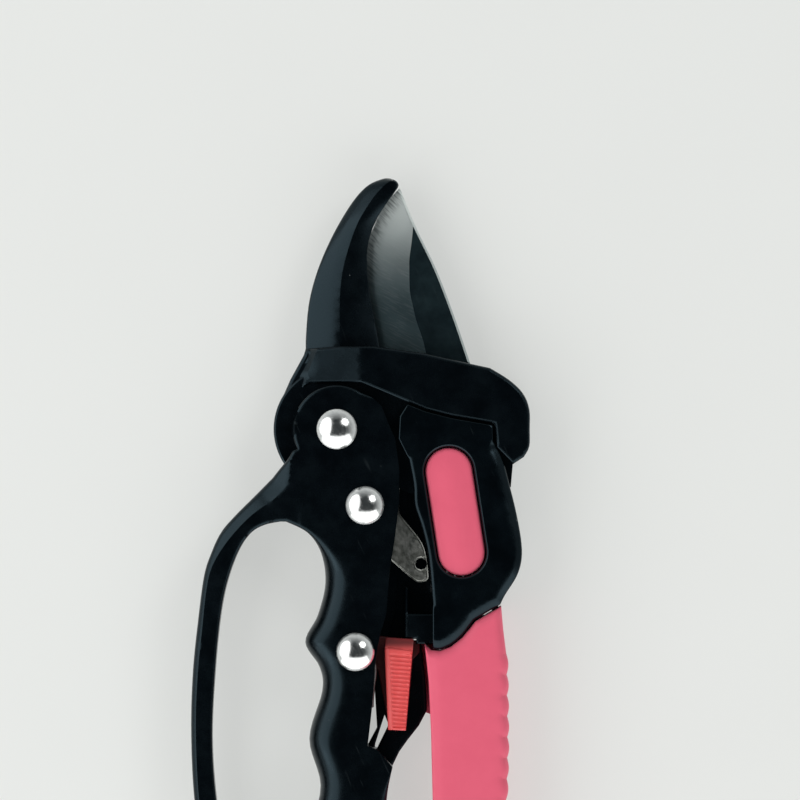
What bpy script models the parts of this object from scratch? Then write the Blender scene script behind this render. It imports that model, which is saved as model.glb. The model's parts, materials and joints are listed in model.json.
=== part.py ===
"""An anvil pruner lying on its back, +Z up.

The pruner's length runs along Y, with the blade's tip towards +Y, and its thickness along Z. Two
crossing levers turn on a domed rivet. The blade lever has a forked black handle with finger grooves and
a finger guard, and the steel blade riveted between its plates. The anvil lever has the jaw, the housing
round the blade's root, and the soft grip. A red catch turns on a third rivet and hooks into a lug of the
anvil lever.

Outlines are in millimetres from the main pivot, X to the right and Y towards the tip, and heights are
from the blade's middle plane. Each body has a parent empty on its axis.
"""

import math

import bmesh
import bpy
from mathutils import Vector

MM = 0.001

# Heights above and below the blade's middle plane.
FACE = 8.6  # flat faces of both handles
FORK = 5.1  # inner faces of the blade lever's fork plates
CHEEK = 4.8  # outer faces of the anvil lever's cheeks
SLOT = 1.85  # half height of the slot that the blade runs in
BLADE = 1.5  # half thickness of the blade
HOUSING = 8.1  # faces of the housing round the blade's root
JAW = 5.2  # half thickness of the jaw
GUARD = 5.2  # half thickness of the finger guard
GAP = 0.3  # clearance between pieces that touch

# Rivets: place, head radius and shank radius.
PIVOT = (0.0, 0.0)
TAIL_RIVET = (7.0, -19.0)
LOCK_RIVET = (4.6, -55.5)
PIVOT_HEAD = 5.0
SMALL_HEAD = 4.75
PIVOT_SHANK = 3.0
SMALL_SHANK = 2.6
HEAD_RISE = 2.5
BUSH_RADIUS = 4.5
BACK_RECESS = 1.8  # depth of the seats of the rivets' back caps
CAP_STEP = 0.4  # how much smaller than its head a back cap is
HEAD_RIM = 0.5  # upright rim below the dome

BOSS_RADIUS = 15.8  # round part of the anvil lever about the pivot
FORK_RADIUS = 16.25  # clearance that the fork leaves round it
PLATE_RADIUS = 11.0  # round end of the fork plates
SWEEP_RADIUS = 44.2  # reach of the blade's tail

# Overall box, from the pivot: guard, shoulder, butt and jaw tip.
LEFT_END = -36.4
RIGHT_END = 48.2
BUTT_END = -142.0
TIP_END = 62.7

# Handle cover: its screws from the back, with their seat and the cover's land above their tips.
COVER_SCREWS = ((39.6, -14.5), (28.2, -48.6))
SCREW_HEAD = 2.9
SCREW_SHANK = 1.3
SCREW_SEAT = 2.4
SCREW_LAND = 1.2
SCREW_TIP = 7.1
SCREW_SLOT = (0.7, 3.6)  # width and length of each arm of the cross

PAD_CENTRE = (29.5, -20.6)
PAD_LENGTH = 32.8
PAD_WIDTH = 12.4
PAD_TILT = 8.8  # degrees, the top leaning left

PAD_DROP = 0.3  # how far the pad lies below the cover's face

# The grip's outer side, with its scallops.
GRIP_SIDE = 43.0
GRIP_MIDDLE = -80.0
GRIP_REACH = 60.0
GRIP_BULGE = 1.6
GRIP_DRAW = 1.1
SCALLOPS = 13
SCALLOP_TOP = -56.0
SCALLOP_PITCH = 5.2
SCALLOP_DEPTH = 0.5

# The catch's thickness, and its ribbed pad.
CATCH_LOW = -1.5
CATCH_HIGH = 2.4
PAD_HIGH = 6.6
PAD_FOOT = -1.1
BROW_LOW = 4.95  # underside of the pad's overhang, which passes above the lug
CATCH_HUB = 5.6
RIB_PITCH = 1.9
RIB_COUNT = 10
RIB_DEPTH = 0.5
RIB_START = -56.0
RIB_SPAN = (11.0, 20.0)

# The web that closes the gap between the handles, its lip, and the rebate that the lip lies in.
WEB_HIGH = -4.4
LIP_LOW = -4.8
LIP_HIGH = -2.2
REBATE_HIGH = -1.9

# The lobe beside the catch, and the slot that the catch turns in.
LOBE_LOW = -7.6
LOBE_HIGH = -1.8
LOCK_SLOT_LOW = -1.8
LOCK_SLOT_HIGH = 5.0

# Inner parts of the anvil lever: the lug, the tang in the grip, the shoulder and the spring's channel.
LUG_LOW = -4.0
LUG_HIGH = 4.6
TANG_HALF = 4.5
SHOULDER_LOW = -7.5
SHOULDER_HIGH = 4.6
CHANNEL_LOW = -5.0

EYE_RADIUS = 9.6  # round end of the blade
BEYOND = 20.0  # past every face, for cutters

# The return spring's axis, and the wire's radius.
RETURN_SPRING = ((23.9, -36.8, 0.0), (36.2, -39.2, 0.0))
RETURN_COIL_RADIUS = 3.6
SPRING_WIRE = 0.55

BLACK = ("black_plastic", (0.018, 0.026, 0.032), 0.5, 0.0)
PINK = ("pink_rubber", (0.807, 0.122, 0.198), 0.6, 0.0)
RED = ("red_plastic", (0.83, 0.12, 0.08), 0.45, 0.0)
STEEL = ("blade_steel", (0.30, 0.34, 0.35), 0.35, 1.0)
CHROME = ("rivet_chrome", (0.75, 0.77, 0.77), 0.18, 1.0)
WIRE = ("spring_wire", (0.42, 0.43, 0.43), 0.35, 1.0)
ALLOY = ("anvil_alloy", (0.55, 0.56, 0.56), 0.4, 1.0)
ACETAL = ("bush_plastic", (0.6, 0.6, 0.58), 0.45, 0.0)


def clear_scene():
    for item in list(bpy.data.objects):
        bpy.data.objects.remove(item, do_unlink=True)


def material(spec):
    name, colour, roughness, metallic = spec
    made = bpy.data.materials.get(name) or bpy.data.materials.new(name)
    made.use_nodes = True
    shader = made.node_tree.nodes["Principled BSDF"]
    shader.inputs["Base Color"].default_value = (*colour, 1.0)
    shader.inputs["Roughness"].default_value = roughness
    shader.inputs["Metallic"].default_value = metallic
    return made


def axis_empty(name, place):
    """An empty on a joint's axis, with the whole object's bottom centre at the world's origin."""
    empty = bpy.data.objects.new(name, None)
    bpy.context.collection.objects.link(empty)
    x = place[0] - (LEFT_END + RIGHT_END) / 2
    y = place[1] - (BUTT_END + TIP_END) / 2
    empty.location = (x * MM, y * MM, FACE * MM)
    return empty


# Outlines


def arc(centre, radius, start, end, steps):
    """Points on an arc, with its angles in degrees."""
    angles = (math.radians(start + (end - start) * i / steps) for i in range(steps + 1))
    return [(centre[0] + radius * math.cos(a), centre[1] + radius * math.sin(a)) for a in angles]


def circle(centre, radius, steps=24):
    return arc(centre, radius, 0, 360, steps)[:-1]


def curve(points, steps=3):
    """A smooth curve through the points, as a Catmull-Rom spline."""
    ends = [points[0], *points, points[-1]]
    result = []
    for a, b, c, d in zip(ends, ends[1:], ends[2:], ends[3:]):
        for i in range(steps):
            t = i / steps
            result.append(tuple(spline_value(*values, t) for values in zip(a, b, c, d)))
    return [*result, points[-1]]


def spline_value(a, b, c, d, t):
    tangent_b = (c - a) / 2
    tangent_c = (d - b) / 2
    square = t * t
    cube = square * t
    start = (2 * cube - 3 * square + 1) * b + (cube - 2 * square + t) * tangent_b
    return start + (3 * square - 2 * cube) * c + (cube - square) * tangent_c


def stadium(centre, length, width, tilt, steps=8):
    """A slot outline with round ends, tilted anticlockwise from upright."""
    reach = (length - width) / 2
    lean = math.radians(90 + tilt)
    along = (math.cos(lean) * reach, math.sin(lean) * reach)
    top = (centre[0] + along[0], centre[1] + along[1])
    foot = (centre[0] - along[0], centre[1] - along[1])
    upper = arc(top, width / 2, tilt, tilt + 180, steps)
    return upper + arc(foot, width / 2, tilt + 180, tilt + 360, steps)


def rectangle(centre, width, length):
    x, y = width / 2, length / 2
    return [(centre[0] + dx, centre[1] + dy) for dx, dy in ((-x, -y), (x, -y), (x, y), (-x, y))]


def anticlockwise(outline):
    pairs = zip(outline, outline[1:] + outline[:1])
    area = sum(a[0] * b[1] - b[0] * a[1] for a, b in pairs)
    return outline if area > 0 else outline[::-1]


def inset(outline, distance):
    """The anticlockwise outline moved inwards, corner by corner."""
    moved = []
    for i, point in enumerate(outline):
        here = Vector(point)
        before = (here - Vector(outline[i - 1])).normalized()
        after = (Vector(outline[(i + 1) % len(outline)]) - here).normalized()
        normal = Vector((-before.y - after.y, before.x + after.x))
        if normal.length < 0.2:
            normal = Vector((-after.y, after.x))
        normal.normalize()
        stretch = max(normal.dot(Vector((-after.y, after.x))), 0.5)
        moved.append(tuple(here + normal * distance / stretch))
    return moved


# Solids


def solid_from_rings(name, rings):
    """A closed body from rings of points with flat ends, the rings running from the bottom up."""
    mesh = bmesh.new()
    rows = [[mesh.verts.new(Vector(p) * MM) for p in ring] for ring in rings]
    count = len(rows[0])
    for lower, upper in zip(rows, rows[1:]):
        for i in range(count):
            j = (i + 1) % count
            mesh.faces.new((lower[i], lower[j], upper[j], upper[i]))
    mesh.faces.new(rows[0][::-1])
    mesh.faces.new(rows[-1])
    return object_of(name, mesh)


def object_of(name, mesh):
    data = bpy.data.meshes.new(name)
    mesh.to_mesh(data)
    mesh.free()
    made = bpy.data.objects.new(name, data)
    bpy.context.collection.objects.link(made)
    return made


def slab(name, outline, low, high, edge=0.0, steps=1):
    """An outline raised between two heights, its upper and lower edges rounded in a few steps."""
    outline = anticlockwise(outline)
    levels = [(low, 0.0), (high, 0.0)]
    if edge:
        turns = [math.radians(90 * i / steps) for i in range(steps + 1)]
        rounds = [(edge * (1 - math.cos(a)), edge * (1 - math.sin(a))) for a in turns]
        levels = [(low + rise, depth) for rise, depth in rounds]
        levels += [(high - rise, depth) for rise, depth in rounds[::-1]]
    rings = []
    for height, depth in levels:
        ring = inset(outline, depth) if depth else outline
        rings.append([(x, y, height) for x, y in ring])
    return solid_from_rings(name, rings)


def turned(name, centre, profile, steps=24):
    """A solid of revolution about an upright axis, from (radius, height) pairs, the bottom first."""
    rings = [[(x, y, height) for x, y in circle(centre, radius, steps)] for radius, height in profile]
    return solid_from_rings(name, rings)


def wire(name, path, radius, sides=6):
    """A round wire along a path of points."""
    points = [Vector(p) for p in path]
    side = Vector((0.0, 0.0, 1.0))
    rings = []
    for i, point in enumerate(points):
        before = points[max(i - 1, 0)]
        after = points[min(i + 1, len(points) - 1)]
        along = (after - before).normalized()
        side = (side - along * side.dot(along)).normalized()
        across = along.cross(side)
        turns = [math.tau * k / sides for k in range(sides)]
        rings.append([point + (side * math.cos(a) + across * math.sin(a)) * radius for a in turns])
    return solid_from_rings(name, rings)


def combine(body, tool, operation):
    """Joins the tool to the body or cuts it away, and leaves the result as the body's mesh."""
    step = body.modifiers.new("combine", "BOOLEAN")
    step.operation = operation
    step.solver = "EXACT"
    step.object = tool
    bpy.context.view_layer.update()
    evaluated = body.evaluated_get(bpy.context.evaluated_depsgraph_get())
    mesh = bpy.data.meshes.new_from_object(evaluated)
    body.modifiers.clear()
    body.data = mesh
    bpy.data.objects.remove(tool, do_unlink=True)


def join(body, *tools):
    for tool in tools:
        combine(body, tool, "UNION")


def cut(body, *tools):
    for tool in tools:
        combine(body, tool, "DIFFERENCE")


def hole(centre, radius, low=-BEYOND, high=BEYOND, steps=24):
    return slab("hole", circle(centre, radius, steps), low, high)


def stepped_hole(centre, radius, wide, step, sides=24):
    """A cutter for a hole that is wider below a step, for a head or a cap on the back."""
    profile = [(wide, -BEYOND), (wide, step), (radius, step), (radius, BEYOND)]
    return turned("stepped_hole", centre, profile, sides)


def finish(piece, spec, parent, sharp=35):
    piece.data.materials.clear()
    piece.data.materials.append(material(spec))
    piece.data.shade_smooth()
    piece.data.set_sharp_from_angle(angle=math.radians(sharp))
    piece.parent = parent
    return piece


def shift(points, origin):
    return [(x - origin[0], y - origin[1]) for x, y in points]


# Blade lever: outlines shared by its pieces

FINGER_SIDE = [
    (-3.1, -133.0),
    (-5.4, -126.5),
    (-3.6, -114.0),
    (-6.5, -102.0),
    (-4.1, -89.0),
    (-6.9, -77.3),
    (-3.7, -65.5),
    (-4.3, -59.5),
    (-7.9, -53.2),
    (-4.8, -46.5),
    (-2.9, -38.5),
    (-3.9, -31.0),
    (-7.2, -25.9),
    (-12.6, -23.1),
]
PALM_SIDE = [(13.9, -84.2), (12.5, -92.0), (12.2, -105.0), (11.6, -120.0), (10.2, -133.0)]
FLARE = [(-13.6, -23.0), (-16.0, -12.2), (-14.6, -10.4), (-12.3, -7.6), (-11.0, -5.4)]
PLATE_RIGHT = [
    (8.8, 8.1),
    (11.2, 5.6),
    (13.0, 1.1),
    (14.6, -2.4),
    (15.6, -10.2),
    (15.6, -17.8),
    (14.4, -27.8),
    (13.2, -35.0),
    (12.4, -46.0),
    (11.0, -50.5),
    (10.3, -54.0),
    (9.4, -60.0),
    (9.2, -65.2),
    (8.5, -72.0),
    (7.7, -78.9),
    (10.1, -79.9),
]
LOBE = [
    (8.0, -53.2),
    (8.0, -59.5),
    (9.0, -60.0),
    (9.45, -65.5),
    (10.0, -74.7),
    (7.6, -79.2),
    (7.0, -81.0),
    (9.4, -80.0),
    (9.6, -78.6),
    (11.9, -71.5),
    (12.9, -74.0),
    (10.3, -79.3),
    (9.8, -80.3),
    (8.0, -86.0),
    (13.9, -84.2),
    (15.6, -80.7),
    (17.6, -77.9),
    (20.5, -74.2),
    (22.5, -70.4),
    (22.2, -62.9),
    (21.0, -53.2),
]


def left_handle_outline():
    head = arc(PIVOT, PLATE_RADIUS, 206, 56, 12)
    butt = curve([(10.2, -133.0), (8.0, -139.5), (2.6, BUTT_END), (-1.9, -140.6), (-3.1, -138.0)])
    side = curve(FINGER_SIDE, 3)
    return FLARE[1:] + head + PLATE_RIGHT + curve(PALM_SIDE, 2)[:-1] + butt + side + FLARE[:1]


def left_handle():
    body = slab("left_handle", left_handle_outline(), -FACE, FACE, edge=1.1, steps=2)
    web = [(9.9, -12.75), (17.7, -16.65), (34.0, -16.65), (34.0, 30.0)]
    web += [(-30.0, 30.0), (-30.0, 0.0), (0.0, 0.0)]
    cut(body, slab("fork", circle(PIVOT, FORK_RADIUS, 32), -FORK, FORK))
    cut(body, slab("fork_side", web, -FORK, FORK))
    cut(body, slab("tail_slot", tail_clearance(), -SLOT, SLOT))
    cut(body, slab("lock_slot", lock_slot_outline(), LOCK_SLOT_LOW, LOCK_SLOT_HIGH))
    cut(body, slab("rebate", beside_plate(-1.8, 4.0, -52.9), -FORK, REBATE_HIGH))
    join(body, slab("lobe", LOBE, LOBE_LOW, LOBE_HIGH))
    for place, head, shank in rivet_places():
        cut(body, stepped_hole(place, shank + GAP, head - CAP_STEP + GAP, -FACE + BACK_RECESS))
    return body


def tail_clearance():
    """The pocket between the plates that holds the blade's tail."""
    return [
        (0.4, -10.0),
        (0.2, -17.0),
        (1.2, -23.5),
        (6.0, -27.6),
        (13.0, -33.6),
        (18.5, -38.5),
        (30.0, -38.5),
        (30.0, -8.0),
        (14.0, -8.0),
    ]


PLATE_EDGE = [(15.6, -15.0), (15.6, -17.8), (14.4, -27.8), (13.2, -35.0), (12.4, -46.0), (11.0, -50.5)]


def beside_plate(start, end, foot):
    """A band along the fork plates' right edge, between two distances from it and down to a foot."""
    near = [(x + start, y) for x, y in PLATE_EDGE]
    far = [(x + end, y) for x, y in PLATE_EDGE[::-1]]
    return near + [(near[-1][0] - 0.4, foot), (far[0][0] - 0.4, foot)] + far


def lock_slot_outline():
    """The slot that the catch turns in, open on the palm side."""
    hub = arc(LOCK_RIVET, CATCH_HUB + 2 * GAP, 75, 265, 12)
    return hub + [(7.0, -62.6), (8.2, -72.6), (30.0, -90.0), (30.0, -49.5)]


def rivet_places():
    return (
        (PIVOT, PIVOT_HEAD, PIVOT_SHANK),
        (TAIL_RIVET, SMALL_HEAD, SMALL_SHANK),
        (LOCK_RIVET, SMALL_HEAD, SMALL_SHANK),
    )


GUARD_OUTER = [
    (-16.4, -12.6),
    (-20.5, -16.75),
    (-25.5, -21.75),
    (-28.9, -25.8),
    (-31.25, -30.75),
    (-33.1, -36.5),
    (-34.6, -47.5),
    (-35.9, -60.0),
    (LEFT_END, -74.0),
    (-35.8, -90.0),
    (-33.9, -105.0),
    (-30.6, -117.0),
    (-25.0, -127.5),
    (-17.0, -135.5),
    (-9.0, -139.8),
    (-3.4, -141.0),
]
GUARD_INNER = [
    (-3.4, -135.0),
    (-10.0, -133.8),
    (-17.5, -128.5),
    (-23.4, -120.0),
    (-27.4, -108.0),
    (-30.0, -93.0),
    (-31.1, -77.0),
    (-30.3, -59.75),
    (-28.9, -46.0),
    (-27.1, -37.4),
    (-24.4, -30.2),
    (-21.4, -25.9),
    (-18.0, -23.9),
    (-14.0, -23.05),
]


def finger_guard():
    outline = curve(GUARD_OUTER, 2) + curve(GUARD_INNER, 2)
    return slab("finger_guard", outline, -GUARD, GUARD, edge=1.0)


SPINE = [(15.7, 60.3), (19.4, 51.1), (24.7, 40.1), (29.1, 28.75), (33.1, 17.0)]
BLADE_ROOT = [
    (34.0, 12.4),
    (32.6, 7.8),
    (28.0, 3.0),
    (21.6, -1.4),
    (17.4, -6.4),
    (15.9, -13.0),
    (15.5, -19.5),
]
BLADE_TAIL = [
    (15.8, -21.4),
    (17.9, -24.1),
    (20.9, -27.9),
    (22.1, -31.0),
    (22.75, -35.5),
    (22.6, -37.7),
    (20.4, -38.3),
    (18.4, -37.15),
    (13.4, -32.7),
    (7.0, -27.2),
    (2.0, -23.0),
    (0.9, -18.0),
    (0.8, -13.0),
]
CUTTING_EDGE = [(3.3, 20.0), (3.5, 26.0), (3.9, 32.5), (6.3, 43.0), (10.4, 52.5)]
TAIL_HOLE = (21.0, -33.75)
TAIL_HOLE_RADIUS = 1.4


def blade():
    eye = arc(PIVOT, EYE_RADIUS, 250, 125, 8)
    outline = curve(SPINE, 2) + BLADE_ROOT + BLADE_TAIL + eye + curve(CUTTING_EDGE, 2)
    body = slab("blade", outline, -BLADE, BLADE)
    cut(body, hole(PIVOT, PIVOT_SHANK + GAP), hole(TAIL_RIVET, SMALL_SHANK + GAP))
    cut(body, hole(TAIL_HOLE, TAIL_HOLE_RADIUS, steps=12))
    return body


def rivet(name, place, head, shank):
    """A domed head on the front, and a shank down to its back cap."""
    base = FACE + GAP
    angles = (math.radians(degrees) for degrees in (0, 25, 50, 75))
    rise = HEAD_RISE - HEAD_RIM
    dome = [(head * math.cos(a), base + HEAD_RIM + rise * math.sin(a)) for a in angles]
    profile = [(shank, -FACE + BACK_RECESS + GAP), (shank, base), (head, base), *dome]
    return turned(name, place, profile, 20)


def rivet_cap(name, place, head):
    """The flat cap that closes a rivet in its seat in the back."""
    radius = head - CAP_STEP
    low = -FACE + 0.2
    profile = [(radius - 0.6, low), (radius, low + 0.4), (radius, -FACE + BACK_RECESS - GAP)]
    return turned(name, place, profile, 20)


def bush(name, low, high):
    body = turned(name, PIVOT, [(BUSH_RADIUS, low), (BUSH_RADIUS, high)])
    cut(body, hole(PIVOT, PIVOT_SHANK + GAP))
    return body


def coil(start, end, radius, turns, per_turn=10):
    """Points of a helix between two places."""
    start, end = Vector(start), Vector(end)
    along = (end - start).normalized()
    side = along.orthogonal().normalized()
    across = along.cross(side)
    count = int(turns * per_turn)
    angles = (math.tau * i / per_turn for i in range(count + 1))
    return [
        start + (end - start) * i / count + (side * math.cos(a) + across * math.sin(a)) * radius
        for i, a in enumerate(angles)
    ]


def return_spring():
    path = coil(*RETURN_SPRING, RETURN_COIL_RADIUS, 6)
    return wire("return_spring", path, SPRING_WIRE)


# The catch's spring: its wire and coil, its leg's height, and the leg's points right of and below the rivet.
LOCK_WIRE = 0.5
LOCK_COIL_RADIUS = 4.0
LOCK_COIL_LOW = 3.3
LEG_HEIGHT = 4.2
LOCK_SPRING_LEG = [(4.9, 4.5), (4.5, 8.5), (4.15, 12.0), (4.1, 14.0)]


def lock_spring():
    """A coil round the lock rivet with one long leg down the opening beside the catch."""
    x, y = LOCK_RIVET
    steps = 14
    turn = arc(LOCK_RIVET, LOCK_COIL_RADIUS, -330, 0, steps)
    rise = (LEG_HEIGHT - LOCK_COIL_LOW) / steps
    ring = [(px, py, LOCK_COIL_LOW + rise * i) for i, (px, py) in enumerate(turn)]
    leg = [(x + dx, y - dy, LEG_HEIGHT) for dx, dy in LOCK_SPRING_LEG]
    return wire("lock_spring", ring + leg, LOCK_WIRE)


# Anvil lever

JAW_OUTER = [
    (-7.75, 18.0),
    (-7.75, 23.25),
    (-6.9, 32.0),
    (-4.6, 40.3),
    (-0.9, 48.7),
    (3.6, 56.3),
    (7.4, 60.6),
    (11.1, 62.4),
    (13.3, TIP_END),
    (14.9, 61.8),
    (15.4, 60.9),
]
JAW_LIP = [(12.6, 56.6), (8.9, 50.4), (7.4, 43.8), (8.2, 36.0), (8.6, 30.0), (10.95, 20.3), (11.0, 14.0)]
HOUSING_OUTLINE = [
    (-6.5, 11.4),
    (-9.4, 9.6),
    (-13.4, 8.3),
    (-11.6, 12.4),
    (-8.3, 18.4),
    (-7.8, 20.0),
    (0.85, 20.7),
    (8.9, 20.7),
    (22.1, 18.85),
    (33.5, 16.25),
    (38.15, 15.25),
    (42.9, 12.3),
    (46.75, 9.0),
    (RIGHT_END, 5.6),
    (RIGHT_END, -4.9),
    (46.75, -6.75),
    (43.9, -8.75),
    (39.8, -4.6),
    (39.2, 1.3),
    (28.5, 3.1),
    (22.25, 4.7),
    (6.0, 11.5),
]
COVER_TOP = [(15.4, -2.4), (15.7, 3.2), (17.6, 6.2), (22.3, 4.35), (28.5, 2.75), (38.8, 0.95)]
COVER_OUTER = [
    (38.9, -3.0),
    (41.1, -6.75),
    (43.0, -13.75),
    (44.6, -20.2),
    (45.9, -27.2),
    (46.1, -32.25),
    (44.9, -36.6),
    (42.0, -41.25),
    (40.75, -43.75),
]
TONGUE = [(34.2, -47.6), (32.9, -49.4), (30.9, -51.8), (28.25, -53.9), (25.75, -54.9), (23.9, -54.7)]
COVER_LEFT = [(23.9, -43.75), (22.9, -32.25), (21.25, -24.65), (19.4, -18.9), (19.1, -13.75), (17.9, -7.4)]
COVER_OUTLINE = COVER_TOP + COVER_OUTER + TONGUE + COVER_LEFT
CHEEK_WEB = [(-2.0, -6.0), (10.2, -12.1), (18.0, -16.0), (26.0, -16.0), (26.0, 9.0), (-2.0, 18.0)]
EDGE_GROOVE = 2.6  # depth of the groove that holds the anvil strip


def shoulder_block():
    """The solid part of the lever between the housing and the handle."""
    inner = [(20.0, -16.0), (15.4, -2.4), (15.4, 12.0)]
    return inner + [(40.0, 12.0), (46.0, 2.0), (46.75, -6.75), (43.9, -8.75), (43.4, -14.5)]


def blade_slot():
    """All that the blade sweeps through: the jaw's open side, and a round clearance about the pivot."""
    side = [(x - GAP, y) for x, y in CUTTING_EDGE[::-1]]
    eye = arc(PIVOT, PLATE_RADIUS + GAP, 120, 205, 6)
    sweep = arc(PIVOT, SWEEP_RADIUS, -68, 12, 12)
    below = [(-24.0, -16.0), (-24.0, -45.0)]
    above = [(46.0, 24.0), (46.0, 64.0)]
    return [(16.6, 62.3), (15.2, 60.6)] + side + eye + below + sweep + above


def strip_outline(depth_out, depth_in):
    """A band that follows the cutting edge, between two distances behind it."""
    front = curve(CUTTING_EDGE, 2)
    near = [(x - depth_out, y) for x, y in front]
    far = [(x - depth_in, y) for x, y in front[::-1]]
    return near + far


def anvil_lever():
    body = slab("anvil_lever", JAW_OUTER + JAW_LIP, -JAW, JAW, edge=1.0)
    join(body, slab("housing", HOUSING_OUTLINE, -HOUSING, HOUSING, edge=0.9))
    join(body, slab("boss", circle(PIVOT, BOSS_RADIUS, 40), -CHEEK, CHEEK))
    join(body, slab("cheek_web", CHEEK_WEB, -CHEEK, CHEEK))
    join(body, slab("handle_back", COVER_OUTLINE, -FACE, CHEEK, edge=0.6))
    join(body, slab("shoulder", shoulder_block(), SHOULDER_LOW, SHOULDER_HIGH))
    cut(body, slab("spring_channel", spring_channel(), CHANNEL_LOW, BEYOND))
    join(body, slab("web", beside_plate(0.4, 12.6, -52.5), -FACE, WEB_HIGH))
    join(body, slab("web_lip", beside_plate(-1.4, 2.0, -52.5), LIP_LOW, LIP_HIGH))
    join(body, slab("lug", lug_outline(), LUG_LOW, LUG_HIGH))
    join(body, slab("lug_lip", LUG_LIP, CATCH_HIGH + 2 * GAP, LUG_HIGH))
    join(body, slab("tang", tang_outline(), -TANG_HALF, TANG_HALF))
    cut(body, slab("blade_slot", blade_slot(), -SLOT, SLOT))
    cut(body, slab("strip_groove", strip_outline(-1.0, EDGE_GROOVE + GAP), -SLOT, SLOT))
    cut(body, hole(PIVOT, BUSH_RADIUS + GAP))
    cut(body, slab("catch_pocket", catch_pocket(), CATCH_LOW - GAP, CATCH_HIGH + GAP))
    for place in COVER_SCREWS:
        cut(body, stepped_hole(place, SCREW_SHANK + GAP, SCREW_HEAD + GAP, -FACE + SCREW_SEAT, 16))
    return body


def spring_channel():
    """The hollow of the handle that holds the return spring, open towards the other handle."""
    return [(10.0, -27.0), (27.0, -27.0), (39.4, -30.0), (39.0, -38.0), (38.0, -45.8), (10.0, -45.8)]


LUG_LIP = [(19.8, -51.0), (28.0, -51.0), (28.0, -53.6), (19.8, -53.6)]


def lug_outline():
    """The catch's lug with the thin wall above it."""
    return [(16.9, -52.4), (16.9, -39.4), (17.8, -39.4), (17.8, -46.0), (28.0, -46.0), (28.0, -52.4)]


def catch_pocket():
    return [(17.65, -49.3), (20.9, -49.3), (20.9, -53.0), (17.65, -53.0)]


def tang_outline():
    top = [(27.0, -46.5), (38.6, -46.5), (38.9, -43.5), (40.3, -43.5), (40.0, -49.6), (38.0, -49.8)]
    return top + [(37.4, -90.0), (35.8, -128.0), (27.4, -128.0), (27.0, -90.0)]


def grip_pocket():
    """The tang's outline with clearance, open at the top."""
    top = [(26.7, -40.0), (40.7, -40.0), (40.3, -50.0), (38.3, -50.2)]
    return top + [(37.7, -90.0), (36.1, -128.3), (27.1, -128.3), (26.7, -90.0)]


def anvil_strip():
    return slab("anvil_strip", strip_outline(2 * GAP, EDGE_GROOVE), -BLADE, BLADE)


def handle_cover():
    body = slab("handle_cover", COVER_OUTLINE, CHEEK + GAP, FACE, edge=0.8)
    cut(body, slab("window", stadium(PAD_CENTRE, PAD_LENGTH, PAD_WIDTH, PAD_TILT), 0.0, BEYOND))
    for place in COVER_SCREWS:
        cut(body, hole(place, SCREW_SHANK + GAP, 0.0, FACE - SCREW_LAND, steps=12))
    return body


def thumb_pad():
    outline = stadium(PAD_CENTRE, PAD_LENGTH - 2 * GAP, PAD_WIDTH - 2 * GAP, PAD_TILT)
    return slab("thumb_pad", outline, CHEEK + GAP, FACE - PAD_DROP, edge=0.6)


def grip_outline():
    """The grip, with finger scallops along its outer side."""
    inner = [(24.5, -128.0), (24.2, -108.0), (23.9, -92.0), (23.5, -75.6), (22.9, -62.9), (21.7, -54.3)]
    top = [(23.6, -55.1), (25.75, -55.3), (28.45, -54.25), (31.15, -52.1), (33.2, -49.7), (34.5, -47.95)]
    top += [(41.0, -44.2), (41.5, -50.0)]
    scallops = []
    for i in range(SCALLOPS * 2 + 1):
        y = SCALLOP_TOP - SCALLOP_PITCH * i / 2
        x = grip_side(y) - (SCALLOP_DEPTH if i % 2 else 0.0)
        scallops.append((x, y))
    butt = curve([(39.3, -131.0), (36.5, -137.6), (32.0, -139.5), (27.4, -137.5), (24.5, -131.0)])
    return inner + top + scallops + butt


def grip_side(y):
    """The outer side's place: bulging at mid length, and drawn in towards the butt."""
    t = (y - GRIP_MIDDLE) / GRIP_REACH
    return GRIP_SIDE - GRIP_BULGE * t * t - GRIP_DRAW * max(-t, 0.0)


def grip():
    body = slab("grip", grip_outline(), -FACE, FACE, edge=2.0, steps=2)
    cut(body, slab("tang_pocket", grip_pocket(), -CHEEK, CHEEK))
    return body


def cover_screw(name, place):
    low = -FACE + GAP
    neck = -FACE + SCREW_SEAT - GAP
    profile = [(SCREW_HEAD - 0.4, low), (SCREW_HEAD, low + 0.4), (SCREW_HEAD, neck)]
    profile += [(SCREW_SHANK, neck), (SCREW_SHANK, SCREW_TIP)]
    body = turned(name, place, profile, 16)
    for width, length in (SCREW_SLOT, SCREW_SLOT[::-1]):
        cut(body, slab("recess", rectangle(place, width, length), -BEYOND, low + 1.0))
    return body


# Catch

CATCH_ARM = [
    (10.2, -51.7),
    (16.2, -52.2),
    (16.4, -55.1),
    (18.6, -55.2),
    (18.6, -52.8),
    (20.6, -52.8),
    (20.6, -55.8),
    (19.0, -57.6),
    (17.4, -74.2),
    (12.9, -74.2),
    (12.2, -70.5),
    (11.2, -65.0),
    (10.2, -60.0),
]
CATCH_PAD = [(11.9, -54.4), (18.9, -55.25), (17.2, -75.2), (12.75, -75.0)]
CATCH_BROW = [(12.2, -52.0), (19.2, -52.4), (18.9, -56.0), (12.2, -56.0)]


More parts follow.
